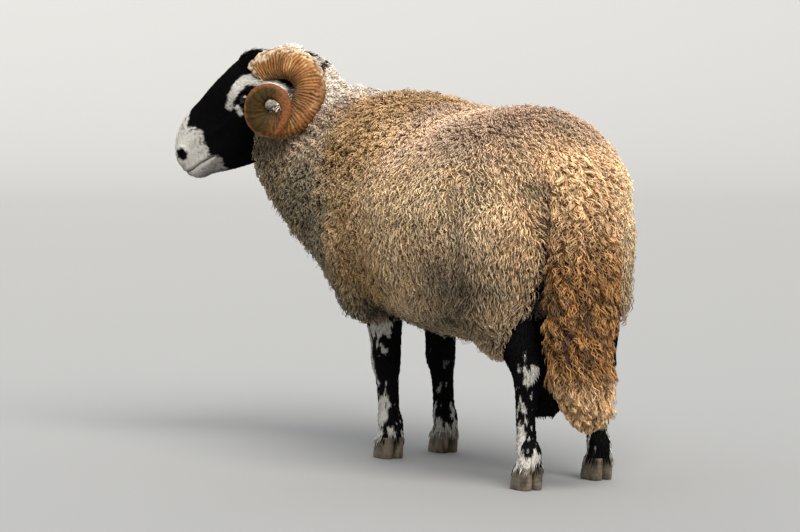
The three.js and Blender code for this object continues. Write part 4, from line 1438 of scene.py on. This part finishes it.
EYE_RINGS = np.linspace(0, np.pi, 41)[1:-1]
for side, mirror in SIDES.items():
    ball, corners, sizes = loft(eyeball(mirror), len(EYE_RINGS) - 1, 48, lambda t: EYE_RINGS)[:3]
    ball[-2:] = [[0, 1.05 * mirror, 0], [0, -mirror, 0]]
    ball = ball * EYE_RADIUS * 0.985
    a, c, b = split(ball)
    far, front = np.hypot(a, b) / EYE_RADIUS, mirror * c > 0
    iris = fall(far, 0.6, 0.66) * front
    pupil = fall(np.maximum(np.abs(a) / 7.2, np.abs(b) / 2.9), 0.92, 1.08) * front
    colour = layered(
        np.tile(rgb(30, 21, 16), (len(ball), 1)),
        (rgb(34, 23, 12), iris * (0.75 + 0.25 * np.sin(np.arctan2(b, a) * 40))),
        (rgb(10, 9, 10), np.maximum(pupil, hump(far - 0.66, 0.05) * 0.8)),
    )
    points = in_head(*split(ball + [EYE_AT[0], mirror * EYE_AT[1], EYE_AT[2]]))
    dressed(mesh_object(f"eye_{side}_ball", points, corners, sizes, EYE_STUFF, colour), "eye", f"eye_{side}")

# ---- hooves
CLAW_OUT, CLAW_BACK = 12.4, -11  # a claw's middle from the foot's

for place, foot in FEET.items():
    claws = []
    for side in (-1, 1):
        points, corners, sizes = loft(claw(side, foot), 40, 56)[:3]
        z = points[:, 2]
        outward = unit((points - [foot[0] + side * CLAW_OUT, foot[1] + CLAW_BACK, 0]) * [1, 1, 0])
        ridge = 0.22 * np.sin(z * 0.7 + 2.5 * noise(points, 16, 111)) * band(z, 1, 6, 36, 44)
        points = points + outward * (ridge - 0.4 + 0.9 * hump(z - 40, 5))[:, None]
        points[:, 2] = np.clip(points[:, 2], 0, None)
        claws.append((points, corners + len(points) * len(claws), sizes))
    points, corners, sizes = (np.concatenate(both) for both in zip(*claws))
    dark = smooth(rough_noise(points * [1, 1, 0.6], 14, 112), -0.1, 0.5)
    colour = mixed(np.tile(rgb(112, 100, 82), (len(points), 1)), rgb(48, 42, 36), 0.8 * dark)
    colour = colour * (0.8 + 0.2 * smooth(points[:, 2], 0, 12))[:, None]
    made = mesh_object(f"hoof_{place}_horny", points, corners, sizes, HOOF_STUFF, colour)
    dressed(made, "hoof", f"hoof_{place}")

# ---- floor, light and camera
scene = bpy.context.scene
FLOOR_DROP = 0.0005  # metres below the soles


def bowl(radius, bend, height, around=96):
    """A plain floor that turns up all round into a pale wall, as a studio's sweep does: sizes in metres."""
    angles = np.linspace(0, np.pi / 2, 16)[1:]
    profile = [(0.02, 0), (radius * 0.5, 0), (radius, 0)]
    profile += [(radius + bend * np.sin(q), bend * (1 - np.cos(q))) for q in angles]
    profile += [(radius + bend, height)]
    turn = np.arange(around) / around * 2 * np.pi
    points = [(r * np.cos(q), r * np.sin(q), z - FLOOR_DROP) for r, z in profile for q in turn]
    faces = [tuple(range(around))]
    for i in range(len(profile) - 1):
        low, high = i * around, (i + 1) * around
        faces += [(low + k, high + k, high + (k + 1) % around, low + (k + 1) % around) for k in range(around)]
    mesh = bpy.data.meshes.new("floor")
    mesh.from_pydata(points, [], faces)
    smoothed(mesh)
    return linked("floor", mesh)


floor = bowl(radius=9, bend=3.5, height=7.5)
floor.data.materials.append(plain("floor", Base_Color=(0.30, 0.297, 0.288, 1), Roughness=0.9)[0])

world = bpy.data.worlds.new("studio")
world.use_nodes = True
valued(world.node_tree.nodes["Background"], Color=(0.90, 0.94, 1.0, 1), Strength=0.9)
scene.world = world

for name, power, spread, colour, towards in (
    ("sun", 6.2, 50, (1, 0.98, 0.95), (0.17, 0.74, 0.65)),
    ("fill", 1.1, 60, (0.95, 0.97, 1.0), (-0.3, -0.9, 0.35)),
):
    sun = bpy.data.lights.new(name, "SUN")
    sun.energy, sun.angle, sun.color = power, np.radians(spread), colour
    linked(name, sun).rotation_euler = Vector(towards).to_track_quat("Z", "Y").to_euler()

EYE_POINT, AIM_POINT = (Vector(placed(point)) for point in ((4286, 6121, 1041), (135, -98, 429)))
camera = linked("camera", bpy.data.cameras.new("camera"))
camera.data.lens, camera.data.sensor_width = 162, 36
camera.location = EYE_POINT
camera.rotation_euler = (AIM_POINT - EYE_POINT).to_track_quat("-Z", "Y").to_euler()
scene.camera = camera
scene.view_settings.view_transform = "Standard"

bpy.context.view_layer.update()
